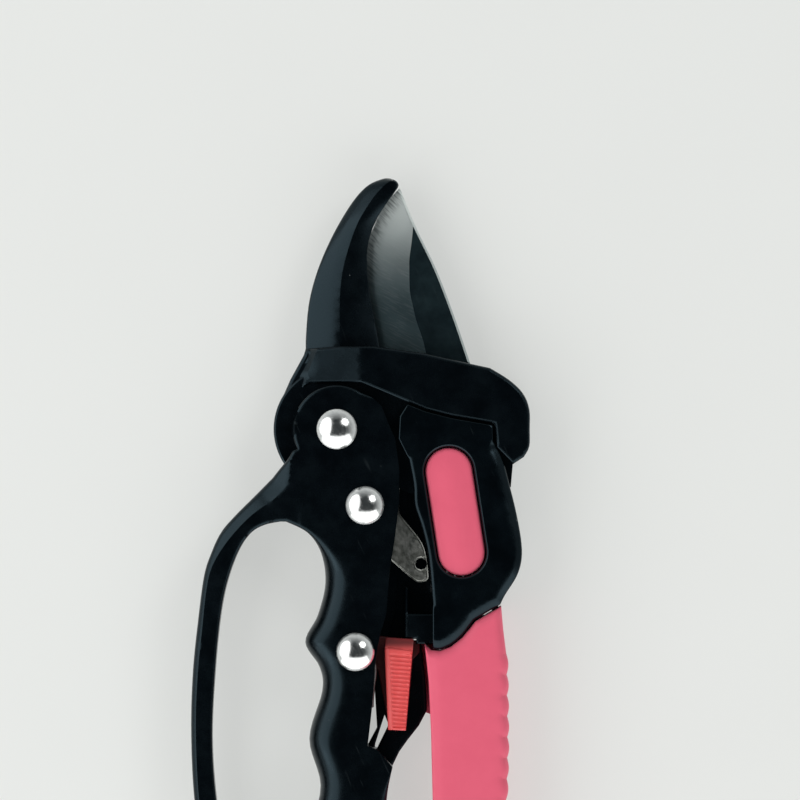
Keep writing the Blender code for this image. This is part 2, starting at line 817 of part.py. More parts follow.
def lock_lever():
    """The catch: a hub, an arm with a hooked nose, and a ribbed pad for the thumb."""
    origin = LOCK_RIVET
    hub = arc((0.0, 0.0), CATCH_HUB, 50, 300, 12)
    body = slab("lock_lever", hub + shift(CATCH_ARM, origin)[::-1], CATCH_LOW, CATCH_HIGH)
    join(body, slab("pad", shift(CATCH_PAD, origin), PAD_FOOT, PAD_HIGH, edge=0.4))
    join(body, slab("brow", shift(CATCH_BROW, origin), BROW_LOW, PAD_HIGH - RIB_DEPTH))
    left, right = RIB_SPAN
    for i in range(RIB_COUNT):
        top = RIB_START - RIB_PITCH * i
        foot = top - RIB_PITCH / 2
        groove = shift([(left, top), (right, top), (right, foot), (left, foot)], origin)
        cut(body, slab("groove", groove, PAD_HIGH - RIB_DEPTH, BEYOND))
    cut(body, hole((0.0, 0.0), SMALL_SHANK + GAP))
    return body


def build():
    clear_scene()
    frame = axis_empty("blade_lever_axis", PIVOT)
    swing = axis_empty("anvil_lever_axis", PIVOT)
    catch = axis_empty("lock_axis", LOCK_RIVET)
    finish(left_handle(), BLACK, frame)
    finish(finger_guard(), BLACK, frame)
    finish(blade(), STEEL, frame)
    for label, (place, head, shank) in zip(("pivot", "tail", "lock"), rivet_places()):
        finish(rivet(f"{label}_rivet", place, head, shank), CHROME, frame)
        finish(rivet_cap(f"{label}_rivet_cap", place, head), CHROME, frame)
    finish(bush("pivot_bush_front", SLOT, CHEEK), ACETAL, frame)
    finish(bush("pivot_bush_back", -CHEEK, -SLOT), ACETAL, frame)
    finish(return_spring(), WIRE, frame)
    finish(lock_spring(), WIRE, frame)
    finish(anvil_lever(), BLACK, swing)
    finish(anvil_strip(), ALLOY, swing)
    finish(handle_cover(), BLACK, swing)
    finish(thumb_pad(), PINK, swing)
    finish(grip(), PINK, swing)
    for label, place in zip(("upper", "lower"), COVER_SCREWS):
        finish(cover_screw(f"cover_screw_{label}", place), CHROME, swing)
    finish(lock_lever(), RED, catch)


build()
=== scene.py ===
"""The look of the anvil pruner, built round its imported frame.

Outlines are in millimetres from the main pivot, X to the right and Y towards the blade's tip, and heights
are from the blade's middle plane, as in the part's source. placed() turns them into the frame's metres.
"""

import json
import math

import bpy
import numpy as np
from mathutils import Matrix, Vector
from mathutils.geometry import delaunay_2d_cdt

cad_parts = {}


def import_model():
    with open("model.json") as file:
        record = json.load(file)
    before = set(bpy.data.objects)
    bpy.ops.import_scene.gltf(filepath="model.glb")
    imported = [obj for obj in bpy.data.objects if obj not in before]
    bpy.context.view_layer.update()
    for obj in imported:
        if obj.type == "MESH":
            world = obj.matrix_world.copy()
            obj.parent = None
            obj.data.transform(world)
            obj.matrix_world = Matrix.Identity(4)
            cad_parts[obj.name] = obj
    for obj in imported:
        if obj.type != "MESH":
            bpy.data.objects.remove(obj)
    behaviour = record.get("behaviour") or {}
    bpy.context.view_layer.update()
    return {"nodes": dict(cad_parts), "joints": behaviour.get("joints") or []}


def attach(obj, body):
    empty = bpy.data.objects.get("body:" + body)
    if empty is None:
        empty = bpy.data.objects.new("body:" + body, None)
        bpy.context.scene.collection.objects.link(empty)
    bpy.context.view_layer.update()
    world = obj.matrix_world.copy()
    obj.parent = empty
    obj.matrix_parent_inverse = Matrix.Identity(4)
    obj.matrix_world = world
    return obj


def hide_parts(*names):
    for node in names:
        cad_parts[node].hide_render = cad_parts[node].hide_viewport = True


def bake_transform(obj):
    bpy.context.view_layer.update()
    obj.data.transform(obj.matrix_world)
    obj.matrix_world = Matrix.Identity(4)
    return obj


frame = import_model()

MM = 0.001
JOINTS = {joint["name"]: joint for joint in frame["joints"]}
PIVOT_PLACE = Vector(JOINTS["lever_swing"]["pos_m"])

# Heights above and below the blade's middle plane.
FACE = 8.6
FORK = 5.1
CHEEK = 4.8
SLOT = 1.85
BLADE = 1.5
HOUSING = 8.1
JAW = 5.2
JAW_EDGE = 2.2
JAW_LIP_HEIGHT = 3.4
GUARD = 5.2
GAP = 0.3
WEB_HIGH = -4.4
LIP_LOW = -4.8
LIP_HIGH = -2.2
REBATE_HIGH = -1.9
LOBE_LOW = -7.6
LOBE_HIGH = -1.8
LUG_LOW = -4.0
LUG_HIGH = 4.6
TANG_HALF = 4.5
SHOULDER_LOW = -7.5
SHOULDER_HIGH = 4.6
CHANNEL_LOW = -5.0
BEYOND = 20.0  # past every face, for cutters

# Rivets: place, head radius and shank radius.
PIVOT = (0.0, 0.0)
TAIL_RIVET = (7.0, -19.0)
LOCK_RIVET = (4.6, -55.5)
PIVOT_HEAD = 5.0
SMALL_HEAD = 4.75
PIVOT_SHANK = 3.0
SMALL_SHANK = 2.6
HEAD_TOP = 11.3
BUSH_RADIUS = 4.5
EYE_RADIUS = 9.6
BACK_RECESS = 1.8
CAP_STEP = 0.4

BOSS_RADIUS = 15.8
FORK_RADIUS = 16.25
PLATE_RADIUS = 11.0
SWEEP_RADIUS = 44.2
LEFT_END = -36.4
TIP_END = 62.7

COVER_SCREWS = ((39.6, -14.5), (28.2, -48.6))
SCREW_HEAD = 2.9
SCREW_SHANK = 1.3
SCREW_SLOT = (0.7, 3.6)
PAD_CENTRE = (29.5, -20.6)
PAD_LENGTH = 32.8
PAD_WIDTH = 12.4
PAD_TILT = 8.8

SCALLOPS = 13
SCALLOP_TOP = -56.0
SCALLOP_PITCH = 5.2
SCALLOP_DEPTH = 0.5

CATCH_LOW = -1.5
CATCH_HIGH = 2.4
PAD_HIGH = 6.6
CATCH_HUB = 5.6
RIB_PITCH = 1.05
RIB_DEPTH = 0.4

RETURN_SPRING = ((23.9, -36.8, 0.0), (36.2, -39.2, 0.0))
RETURN_COIL_RADIUS = 3.6
SPRING_WIRE = 0.55
LOCK_WIRE = 0.5
LOCK_COIL_RADIUS = 4.0
LOCK_COIL_LOW = 3.3
LEG_HEIGHT = 4.2

# Distances from an edge at which a sheet has a ring of points, so that rounded edges come out smooth.
FINE_RINGS = (0.03, 0.12, 0.28, 0.5, 0.8, 1.2, 1.7)
BROAD_RINGS = (0.05, 0.25, 0.6, 1.1, 1.8, 2.6, 3.6, 4.8, 6.4)

# A triangle whose centre is nearer than this to an edge is only rounding in a straight run of points.
THINNEST = 0.0001


# Outlines


def arc(centre, radius, start, end, steps):
    """Points on an arc, with its angles in degrees."""
    angles = (math.radians(start + (end - start) * i / steps) for i in range(steps + 1))
    return [(centre[0] + radius * math.cos(a), centre[1] + radius * math.sin(a)) for a in angles]


def circle(centre, radius, steps=64):
    return arc(centre, radius, 0, 360, steps)[:-1]


def curve(points, steps=6):
    """A smooth curve through the points, as a Catmull-Rom spline."""
    ends = [points[0], *points, points[-1]]
    result = []
    for a, b, c, d in zip(ends, ends[1:], ends[2:], ends[3:]):
        for i in range(steps):
            t = i / steps
            result.append(tuple(spline_value(*values, t) for values in zip(a, b, c, d)))
    return [*result, points[-1]]


def spline_value(a, b, c, d, t):
    tangent_b = (c - a) / 2
    tangent_c = (d - b) / 2
    square = t * t
    cube = square * t
    start = (2 * cube - 3 * square + 1) * b + (cube - 2 * square + t) * tangent_b
    return start + (3 * square - 2 * cube) * c + (cube - square) * tangent_c


def stadium(centre, length, width, tilt, steps=24):
    """A slot outline with round ends, tilted anticlockwise from upright."""
    reach = (length - width) / 2
    lean = math.radians(90 + tilt)
    along = (math.cos(lean) * reach, math.sin(lean) * reach)
    top = (centre[0] + along[0], centre[1] + along[1])
    foot = (centre[0] - along[0], centre[1] - along[1])
    upper = arc(top, width / 2, tilt, tilt + 180, steps)
    return upper + arc(foot, width / 2, tilt + 180, tilt + 360, steps)


def anticlockwise(outline):
    pairs = zip(outline, outline[1:] + outline[:1])
    area = sum(a[0] * b[1] - b[0] * a[1] for a, b in pairs)
    return outline if area > 0 else outline[::-1]


def resample(line, step, closed=True):
    """The line with points added so that none are further apart than a step."""
    ends = line[1:] + line[:1] if closed else line[1:]
    result = []
    for a, b in zip(line, ends):
        count = max(1, math.ceil(math.dist(a, b) / step))
        result += [(a[0] + (b[0] - a[0]) * i / count, a[1] + (b[1] - a[1]) * i / count) for i in range(count)]
    return result if closed else [*result, line[-1]]


# Distances on the plan, for arrays of points


def nearest(points, line, closed=False):
    """Each point's distance to a line, and on which side of it the point is (positive on its left)."""
    starts = np.array(line, float)
    ends = np.roll(starts, -1, axis=0)
    if not closed:
        starts, ends = starts[:-1], ends[:-1]
    along = ends - starts
    length = np.maximum((along**2).sum(1), 1e-12)
    gaps, sides = [], []
    for chunk in np.array_split(points, len(points) // 1500 + 1):
        away = chunk[:, None, :] - starts[None]
        t = np.clip((away * along).sum(2) / length, 0.0, 1.0)
        square = ((away - along * t[..., None]) ** 2).sum(2)
        best = square.argmin(1)
        rows = np.arange(len(chunk))
        cross = along[best, 0] * away[rows, best, 1] - along[best, 1] * away[rows, best, 0]
        gaps.append(np.sqrt(square[rows, best]))
        sides.append(np.sign(cross))
    return np.concatenate(gaps), np.concatenate(sides)


def distance(points, line, closed=False):
    return nearest(points, line, closed)[0]


def edge_distance(points, loops):
    return np.min([distance(points, loop, True) for loop in loops], axis=0)


def beyond(points, line):
    """How far each point is to the right of a line, and zero to its left."""
    gap, side = nearest(points, line)
    return np.where(side < 0, gap, 0.0)


def inside(points, loops):
    """Whether each point is within the first loop and outside the others."""
    result = np.zeros(len(points), bool)
    x, y = points[:, 0], points[:, 1]
    for loop in loops:
        for (ax, ay), (bx, by) in zip(loop, loop[1:] + loop[:1]):
            if ay == by:
                continue
            crosses = (ay > y) != (by > y)
            result ^= crosses & (x < ax + (bx - ax) * (y - ay) / (by - ay))
    return result


def fillet(depth, radius):
    """How far a rounded edge has dropped, by the distance from the edge."""
    reach = np.clip(radius - depth, 0.0, radius)
    return radius - np.sqrt(np.maximum(radius**2 - reach**2, 0.0))


def chamfer(depth, width, drop):
    return drop * np.clip(1 - depth / width, 0.0, 1.0)


def ease(value, start=0.0, end=1.0):
    """Zero before the start and one after the end, with a smooth step between."""
    t = np.clip((value - start) / (end - start), 0.0, 1.0)
    return t * t * (3 - 2 * t)


# Meshes


def placed(points):
    """Design millimetres as the frame's metres."""
    return np.array(points, float) * MM + np.array(PIVOT_PLACE)


def linked(name, data):
    """A new object in the scene."""
    made = bpy.data.objects.new(name, data)
    bpy.context.scene.collection.objects.link(made)
    return made


def mesh_object(name, points, faces):
    data = bpy.data.meshes.new(name)
    data.from_pydata(placed(points).tolist(), [], faces)
    data.validate()
    return linked(name, data)


def thinned(points, least):
    """The points without those closer than the least distance to an earlier one."""
    kept = {}
    result = []
    for x, y in points:
        cell = (int(x // least), int(y // least))
        around = [(cell[0] + i, cell[1] + j) for i in (-1, 0, 1) for j in (-1, 0, 1)]
        close = (kept[c] for c in around if c in kept)
        if all(math.hypot(x - px, y - py) >= least for px, py in close):
            kept[cell] = (x, y)
            result.append((x, y))
    return result


def ring_points(loops, lines, depth, step):
    """Points at one depth inside the loops' edges."""
    found = []
    for loop in loops:
        here = np.array(loop)
        along = np.roll(here, -1, axis=0) - np.roll(here, 1, axis=0)
        normal = np.stack((-along[:, 1], along[:, 0]), 1)
        normal /= np.maximum(np.linalg.norm(normal, axis=1), 1e-9)[:, None]
        found.append(here + normal * depth)
    points = np.concatenate(found)
    clear = edge_distance(points, loops) > depth * 0.94
    for line in lines:
        clear &= distance(points, line) > min(depth, step) * 0.3
    return thinned(points[clear].tolist(), step * 0.6)


def grid_points(loops, lines, spacing, depth):
    """A triangular grid over the middle of the shape."""
    corners = np.array(loops[0])
    low, high = corners.min(0), corners.max(0)
    rows = int((high[1] - low[1]) / (spacing * 0.866)) + 1
    columns = int((high[0] - low[0]) / spacing) + 1
    points = []
    for j in range(rows):
        for i in range(columns):
            points.append((low[0] + (i + 0.5 * (j % 2)) * spacing, low[1] + j * spacing * 0.866))
    points = np.array(points)
    points = points[inside(points, loops)]
    clear = edge_distance(points, loops) > depth + spacing * 0.45
    for line in lines:
        clear &= distance(points, line) > spacing * 0.4
    return points[clear].tolist()


def triangulated(loops, lines, rings, step, spacing):
    """A triangle mesh over the loops, with their edges and the crease lines kept as edges."""
    points, edges = [], []
    for line, closed in [(loop, True) for loop in loops] + [(line, False) for line in lines]:
        first = len(points)
        count = len(line)
        points += line
        edges += [(first + i, first + (i + 1) % count) for i in range(count if closed else count - 1)]
    for depth in rings:
        points += ring_points(loops, lines, depth, step)
    points += grid_points(loops, lines, spacing, rings[-1])
    flat = [Vector(p) for p in points]
    corners, _, faces, *_ = delaunay_2d_cdt(flat, edges, [], 0, 1e-6, False)
    corners = np.array([tuple(c) for c in corners])
    faces = np.array([tuple(f) for f in faces])
    centres = corners[faces].mean(1)
    faces = faces[inside(centres, loops) & (edge_distance(centres, loops) > THINNEST)]
    used, numbers = np.unique(faces, return_inverse=True)
    return corners[used], numbers.reshape(faces.shape)


def lens(name, outline, top, bottom, holes=(), creases=(), rings=FINE_RINGS, step=0.6, spacing=1.5):
    """A closed body over an outline. Its upper and lower heights are levels, or functions of the points and
    of their distance from the nearest edge."""
    loops = [resample(anticlockwise(outline), step)]
    loops += [resample(anticlockwise(hole)[::-1], step) for hole in holes]
    lines = [resample(line, step, closed=False) for line in creases]
    plan, faces = triangulated(loops, lines, rings, step, spacing)
    depth = edge_distance(plan, loops)
    upper = np.column_stack((plan, height(top, plan, depth)))
    lower = np.column_stack((plan, height(bottom, plan, depth)))
    count = len(plan)
    triangles = faces.tolist()
    ways = {(f[i], f[(i + 1) % 3]) for f in triangles for i in range(3)}
    rims = [(a, b) for a, b in ways if (b, a) not in ways]
    walls = [(b, a, a + count, b + count) for a, b in sorted(rims)]
    under = [(f[2] + count, f[1] + count, f[0] + count) for f in triangles]
    return mesh_object(name, np.concatenate((upper, lower)), triangles + under + walls)


def height(rule, plan, depth):
    return rule(plan, depth) if callable(rule) else np.full(len(plan), rule)


def rounded(level, radius):
    """A flat height with its edge rounded, upwards or downwards by the level's sign."""
    return lambda plan, depth: math.copysign(1.0, level) * (abs(level) - fillet(depth, radius))


def mirrored(rule):
    """The back's height for a body that is the same on both sides."""
    return lambda plan, depth: -rule(plan, depth)


def tube_faces(rows, sides):
    """The faces between rings of points, and the two ends."""
    last = (rows - 1) * sides
    faces = []
    for low in range(0, last, sides):
        high = low + sides
        faces += [(low + i, low + (i + 1) % sides, high + (i + 1) % sides, high + i) for i in range(sides)]
    return faces + [tuple(range(sides))[::-1], tuple(range(last, last + sides))]


def block(name, outline, low, high):
    """A plain upright solid, also used as a cutter."""
    ring = anticlockwise(outline)
    points = [(x, y, z) for z in (low, high) for x, y in ring]
    return mesh_object(name, points, tube_faces(2, len(ring)))


def turned(name, centre, profile, sides=64):
    """A solid of revolution about an upright axis, from (radius, height) pairs, the bottom first."""
    points = [(x, y, z) for radius, z in profile for x, y in circle(centre, radius, sides)]
    return mesh_object(name, points, tube_faces(len(profile), sides))


def wire(name, path, radius, sides=14):
    """A round wire along a path, with rounded ends."""
    points = [Vector(p) for p in path]
    side = Vector((0.0, 0.0, 1.0))
    rows = []
    for i, point in enumerate(points):
        along = (points[min(i + 1, len(points) - 1)] - points[max(i - 1, 0)]).normalized()
        side = (side - along * side.dot(along)).normalized()
        across = along.cross(side)
        turns = [math.tau * k / sides for k in range(sides)]
        thick = radius * (0.6 if i in (0, len(points) - 1) else 1.0)
        rows.append([point + (side * math.cos(a) + across * math.sin(a)) * thick for a in turns])
    vertices = [tuple(p) for row in rows for p in row]
    return mesh_object(name, vertices, tube_faces(len(rows), sides))


def combine(body, tool, operation):
    """Joins the tool to the body or cuts it away, and leaves the result as the body's mesh."""
    step = body.modifiers.new("combine", "BOOLEAN")
    step.operation = operation
    step.solver = "EXACT"
    step.object = tool
    bpy.context.view_layer.update()
    evaluated = body.evaluated_get(bpy.context.evaluated_depsgraph_get())
    mesh = bpy.data.meshes.new_from_object(evaluated)
    body.modifiers.clear()
    body.data = mesh
    bpy.data.objects.remove(tool, do_unlink=True)


def join(body, *tools):
    for tool in tools:
        combine(body, tool, "UNION")


def cut(body, *tools):
    for tool in tools:
        combine(body, tool, "DIFFERENCE")


def hole(centre, radius, low=-BEYOND, high=BEYOND):
    return block("hole", circle(centre, radius, 48), low, high)


def stepped_hole(centre, radius, wide, step):
    """A cutter for a hole that is wider below a step."""
    profile = [(wide, -BEYOND), (wide, step), (radius, step), (radius, BEYOND)]
    return turned("stepped_hole", centre, profile, 48)


def finish(piece, materials, body, slot, *nodes, sharp=32):
    """Gives a piece its materials and shading, hangs it on its body if it has one, and hides the frame's
    parts that it stands for.
    """
    numbers = np.zeros(len(piece.data.polygons), np.int32)
    piece.data.polygons.foreach_get("material_index", numbers)
    piece.data.materials.clear()
    for material in materials:
        piece.data.materials.append(material)
    piece.data.polygons.foreach_set("material_index", numbers)
    piece.data.shade_smooth()
    piece.data.set_sharp_from_angle(angle=math.radians(sharp))
    if body:
        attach(piece, body)
    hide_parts(*nodes)
    return piece


# Materials


def node(tree, kind, inputs=None, **settings):
    """A shader node, with its inputs linked or set."""
    made = tree.nodes.new("ShaderNode" + kind)
    for name, value in settings.items():
        setattr(made, name, value)
    for name, value in (inputs or {}).items():
        if isinstance(value, bpy.types.NodeSocket):
            tree.links.new(value, made.inputs[name])
        else:
            made.inputs[name].default_value = value
    return made


def grain(tree, size, detail=3.0, stretch=(1.0, 1.0, 1.0), turn=0.0, offset=0.0):
    """Noise with spots of a size in millimetres, stretched along axes that are turned anticlockwise."""
    place = node(tree, "TexCoord").outputs["Object"]
    mapping = {"Vector": place, "Scale": stretch, "Rotation": (0.0, 0.0, math.radians(turn))}
    mapping["Location"] = (offset, offset, 0.0)
    vector = node(tree, "Mapping", mapping, vector_type="TEXTURE").outputs["Vector"]
    values = {"Vector": vector, "Scale": 1 / (size * MM), "Detail": detail, "Roughness": 0.6}
    return node(tree, "TexNoise", values).outputs["Fac"]


def flecks(tree, size, least):
    """Rare small spots: the cores of some cells."""
    place = node(tree, "TexCoord").outputs["Object"]
    cells = node(tree, "TexVoronoi", {"Vector": place, "Scale": 1 / (size * MM)})
    core = ranged(tree, cells.outputs["Distance"], 0.06, 0.02, 0.0, 1.0)
    chosen = node(tree, "SeparateColor", {"Color": cells.outputs["Color"]}).outputs[0]
    rare = ranged(tree, chosen, least, least + 0.01, 0.0, 1.0)
    return math_node(tree, "MULTIPLY", core, rare)


def math_node(tree, operation, a, b):
    return node(tree, "Math", {0: a, 1: b}, operation=operation).outputs[0]


def ranged(tree, value, low, high, start, end):
    values = {"Value": value, "From Min": low, "From Max": high, "To Min": start, "To Max": end}
    return node(tree, "MapRange", values).outputs["Result"]


def mixed(tree, factor, a, b):
    """A colour between two others."""
    inputs = {}
    for name, value in ((6, a), (7, b)):
        inputs[name] = value if isinstance(value, bpy.types.NodeSocket) else (*value, 1.0)
    return node(tree, "Mix", {0: factor, **inputs}, data_type="RGBA").outputs[2]


def new_material(name, values=None):
    """A material, its nodes and its shader with some fixed values."""
    material = bpy.data.materials.new(name)
    material.use_nodes = True
    shader = material.node_tree.nodes["Principled BSDF"]
    for key, value in (values or {}).items():
        shader.inputs[key].default_value = value
    return material, material.node_tree, shader


def dress(tree, shader, colour, roughness, relief, depth):
    """Links a material's colour, roughness and relief, whose depth is in millimetres."""
    tree.links.new(colour, shader.inputs["Base Color"])
    tree.links.new(roughness, shader.inputs["Roughness"])
    bump = node(tree, "Bump", {"Height": relief, "Distance": depth * MM, "Strength": 1.0})
    tree.links.new(bump.outputs["Normal"], shader.inputs["Normal"])


def black_plastic(name, dark, light, gloss):
    """Glass-filled moulded plastic: fine spark-eroded grain, cloudy gloss, a few small pale specks."""
    values = {"Specular Tint": (0.55, 0.84, 1.0, 1.0), "Specular IOR Level": 0.33}
    material, tree, shader = new_material(name, values)
    clouds = grain(tree, 7.0, 4.0)
    fine = grain(tree, 0.22, 2.0)
    scratches = grain(tree, 1.2, 2.0, (1.0, 9.0, 1.0), 24.0, 0.3)
    worn = ranged(tree, scratches, 0.7, 0.78, 0.0, 1.0)
    specks = flecks(tree, 2.6, 0.93)
    colour = mixed(tree, ranged(tree, clouds, 0.35, 0.65, 0.0, 1.0), dark, light)
    colour = mixed(tree, math_node(tree, "MULTIPLY", worn, 0.2), colour, (0.04, 0.05, 0.055))
    colour = mixed(tree, specks, colour, (0.25, 0.28, 0.28))
    rough = ranged(tree, clouds, 0.3, 0.7, gloss - 0.05, gloss + 0.06)
    rough = math_node(tree, "ADD", rough, ranged(tree, fine, 0.3, 0.7, -0.03, 0.03))
    dress(tree, shader, colour, rough, fine, 0.006)
    return material


def soft_pink(name, base, deep, gloss):
    """Soft rubber: even colour with faint clouds, a satin bloom and a fine skin."""
    values = {"Specular IOR Level": 0.35, "Sheen Weight": 0.08, "Sheen Roughness": 0.5}
    material, tree, shader = new_material(name, values)
    clouds = grain(tree, 9.0, 3.0)
    fine = grain(tree, 0.3, 2.0)
    rubbed = ranged(tree, grain(tree, 3.0, 3.0, (1.0, 5.0, 1.0), 6.0), 0.6, 0.8, 0.0, 0.35)
    colour = mixed(tree, ranged(tree, clouds, 0.3, 0.7, 0.0, 1.0), base, deep)
    colour = mixed(tree, math_node(tree, "MULTIPLY", rubbed, 0.35), colour, (0.85, 0.2, 0.27))
    rough = ranged(tree, clouds, 0.3, 0.7, gloss - 0.05, gloss + 0.07)
    dress(tree, shader, colour, rough, fine, 0.012)
    return material


def red_plastic(name):
    """Moulded red plastic, with shade painted in where it lies down in the handle's opening and on the brow
    by the lug.
    """
    material, tree, shader = new_material(name, {"Specular IOR Level": 0.45})
    clouds = grain(tree, 4.0, 3.0)
    fine = grain(tree, 0.25, 2.0)
    colour = mixed(tree, ranged(tree, clouds, 0.3, 0.7, 0.0, 1.0), (0.8, 0.1, 0.1), (0.74, 0.088, 0.085))
    # Painted shade: the red is mixed to near black where the recess value is high.
    recess = node(tree, "Attribute", attribute_name="recess").outputs["Fac"]
    colour = mixed(tree, recess, colour, (0.05, 0.003, 0.004))
    rough = ranged(tree, fine, 0.3, 0.7, 0.38, 0.5)
    dress(tree, shader, colour, rough, fine, 0.008)
    return material


def steel(name, bright, dull, gloss, brush=(1.0, 16.0, 1.0), turn=0.0, size=0.35, depth=0.004):
    """Metal with brush marks along one direction and cloudy tarnish."""
    material, tree, shader = new_material(name, {"Metallic": 1.0})
    lines = grain(tree, size, 3.0, brush, turn)
    clouds = grain(tree, 5.0, 4.0)
    tone = math_node(tree, "MULTIPLY", lines, 0.6)
    tone = math_node(tree, "ADD", tone, math_node(tree, "MULTIPLY", clouds, 0.4))
    colour = mixed(tree, ranged(tree, tone, 0.35, 0.65, 0.0, 1.0), dull, bright)
    rough = ranged(tree, lines, 0.3, 0.7, gloss - 0.05, gloss + 0.08)
    dress(tree, shader, colour, rough, lines, depth)
    return material


def ground_steel(name):
    """The ground bevel: a painted highlight, bright towards the tip and greyer towards the pivot, with
    grinding marks across it and fine nicks along the edge."""
    material, tree, shader = new_material(name, {"Metallic": 1.0})
    marks = grain(tree, 0.35, 3.0, (1.0, 14.0, 1.0), 62.0)
    clouds = grain(tree, 6.0, 3.0)
    painted_tip_highlight = node(tree, "Attribute", attribute_name="painted_tip_highlight").outputs["Fac"]
    near_edge = node(tree, "Attribute", attribute_name="near_edge").outputs["Fac"]
    # Painted highlight: the colour runs from dark grey-teal at the root to bright steel at the tip and on the
    # spine chamfer.
    colour = mixed(tree, painted_tip_highlight, (0.11, 0.165, 0.18), (0.66, 0.71, 0.69))
    colour = mixed(tree, ranged(tree, marks, 0.5, 0.75, 0.0, 0.16), colour, (0.6, 0.63, 0.63))
    nick = ranged(tree, grain(tree, 0.32, 0.0, (1.0, 14.0, 1.0), 48.0), 0.45, 0.6, 0.0, 0.5)
    colour = mixed(tree, math_node(tree, "MULTIPLY", nick, near_edge), colour, (0.05, 0.07, 0.075))
    rough = ranged(tree, clouds, 0.3, 0.7, 0.3, 0.36)
    rough = math_node(tree, "ADD", rough, math_node(tree, "MULTIPLY", painted_tip_highlight, 0.22))
    dress(tree, shader, colour, rough, marks, 0.003)
    return material


def coated_steel(name):
    """The blade's dark coat: a thin grey-green film with fine rubbed streaks."""
    material, tree, shader = new_material(name, {"Metallic": 0.6})
    streaks = grain(tree, 0.5, 3.0, (1.0, 14.0, 1.0), 24.0)
    clouds = grain(tree, 5.0, 4.0)
    cloudy = ranged(tree, clouds, 0.35, 0.65, 0.0, 1.0)
    colour = mixed(tree, cloudy, (0.007, 0.017, 0.022), (0.016, 0.033, 0.039))
    colour = mixed(tree, ranged(tree, streaks, 0.6, 0.8, 0.0, 0.08), colour, (0.14, 0.18, 0.18))
    rough = ranged(tree, streaks, 0.3, 0.7, 0.3, 0.38)
    dress(tree, shader, colour, rough, clouds, 0.003)
    return material


def light_plastic(name):
    """The bushes' off-white bearing plastic."""
    material, tree, shader = new_material(name)
    clouds = grain(tree, 2.0, 3.0)
    fine = grain(tree, 0.2, 2.0)
    colour = mixed(tree, clouds, (0.62, 0.61, 0.58), (0.7, 0.69, 0.66))
    dress(tree, shader, colour, ranged(tree, clouds, 0.3, 0.7, 0.4, 0.5), fine, 0.005)
    return material


# Blade lever


FINGER_SIDE = [
    (-3.1, -133.0), (-5.4, -126.5), (-3.6, -114.0), (-6.5, -102.0), (-4.1, -89.0), (-6.9, -77.3),
    (-3.7, -65.5), (-4.3, -59.5), (-7.9, -53.2), (-4.8, -46.5), (-2.9, -38.5), (-3.9, -31.0),
    (-7.2, -25.9), (-12.6, -23.1),
]
PALM_SIDE = [(13.9, -84.2), (12.5, -92.0), (12.2, -105.0), (11.6, -120.0), (10.2, -133.0)]
FLARE = [(-16.4, -12.6), (-16.0, -12.2), (-14.6, -10.4), (-12.3, -7.6), (-11.0, -5.4)]
PLATE_RIGHT = [
    (8.8, 8.1), (11.2, 5.6), (13.0, 1.1), (14.6, -2.4), (15.6, -10.2), (15.6, -17.8), (14.4, -27.8),
    (13.2, -35.0), (12.4, -46.0), (11.0, -50.5), (10.3, -54.0), (9.4, -60.0), (9.2, -65.2),
    (8.5, -72.0), (7.7, -78.9), (10.1, -79.9), (12.0, -82.0),
]
BUTT = [(10.2, -133.0), (8.0, -139.5), (2.6, -141.8), (-3.4, -141.0)]
LOBE = [
    (8.0, -53.2), (8.0, -59.5), (9.0, -60.0), (9.45, -65.5), (10.0, -74.7), (7.6, -79.2),
    (7.0, -81.0), (9.4, -80.0), (9.6, -78.6), (11.9, -71.5), (12.9, -74.0), (10.3, -79.3),
    (9.8, -80.3), (8.0, -86.0), (13.9, -84.2), (15.6, -80.7), (17.6, -77.9), (20.5, -74.2),
    (22.5, -70.4), (22.2, -62.9), (21.0, -53.2),
]
GUARD_OUTER = [
    (-16.4, -12.6), (-20.5, -16.75), (-25.5, -21.75), (-28.9, -25.8), (-31.25, -30.75),
    (-33.1, -36.5), (-34.6, -47.5), (-35.9, -60.0), (LEFT_END, -74.0), (-35.8, -90.0),
    (-33.9, -105.0), (-30.6, -117.0), (-25.0, -127.5), (-17.0, -135.5), (-9.0, -139.8),
    (-3.4, -141.0),
]
GUARD_INNER = [
    (-3.4, -135.0), (-10.0, -133.8), (-17.5, -128.5), (-23.4, -120.0), (-27.4, -108.0),
    (-30.0, -93.0), (-31.1, -77.0), (-30.3, -59.75), (-28.9, -46.0), (-27.1, -37.4), (-24.4, -30.2),
    (-21.4, -25.9), (-18.0, -23.9), (-14.0, -23.05),
]
# The line where the plate's flat face and the guard's crest turn down to the outside.
GUARD_CREST = [
    (-10.9, -2.6), (-11.4, -6.0), (-11.9, -10.0), (-12.6, -14.2), (-16.3, -18.0), (-18.8, -19.6),
    (-22.4, -22.5), (-27.25, -27.9), (-31.0, -34.0), (-32.5, -40.0), (-33.6, -50.0), (-34.7, -61.0),
    (-35.2, -74.0), (-34.6, -90.0), (-32.7, -104.8), (-29.5, -116.4), (-24.1, -126.7),
    (-16.4, -134.4), (-8.7, -138.5), (-3.4, -139.6), (2.0, -140.2),
]
CREST_SLOPE = 0.62


def finger_radius(y):
    """The finger side is well rounded along the grip, and tight at both ends of the loop."""
    return 0.9 + 5.4 * ease(-y, 24.0, 38.0) * (1 - ease(-y, 121.0, 132.0))


def palm_radius(y):
    return 0.15 + 3.0 * ease(-y, 84.0, 98.0)


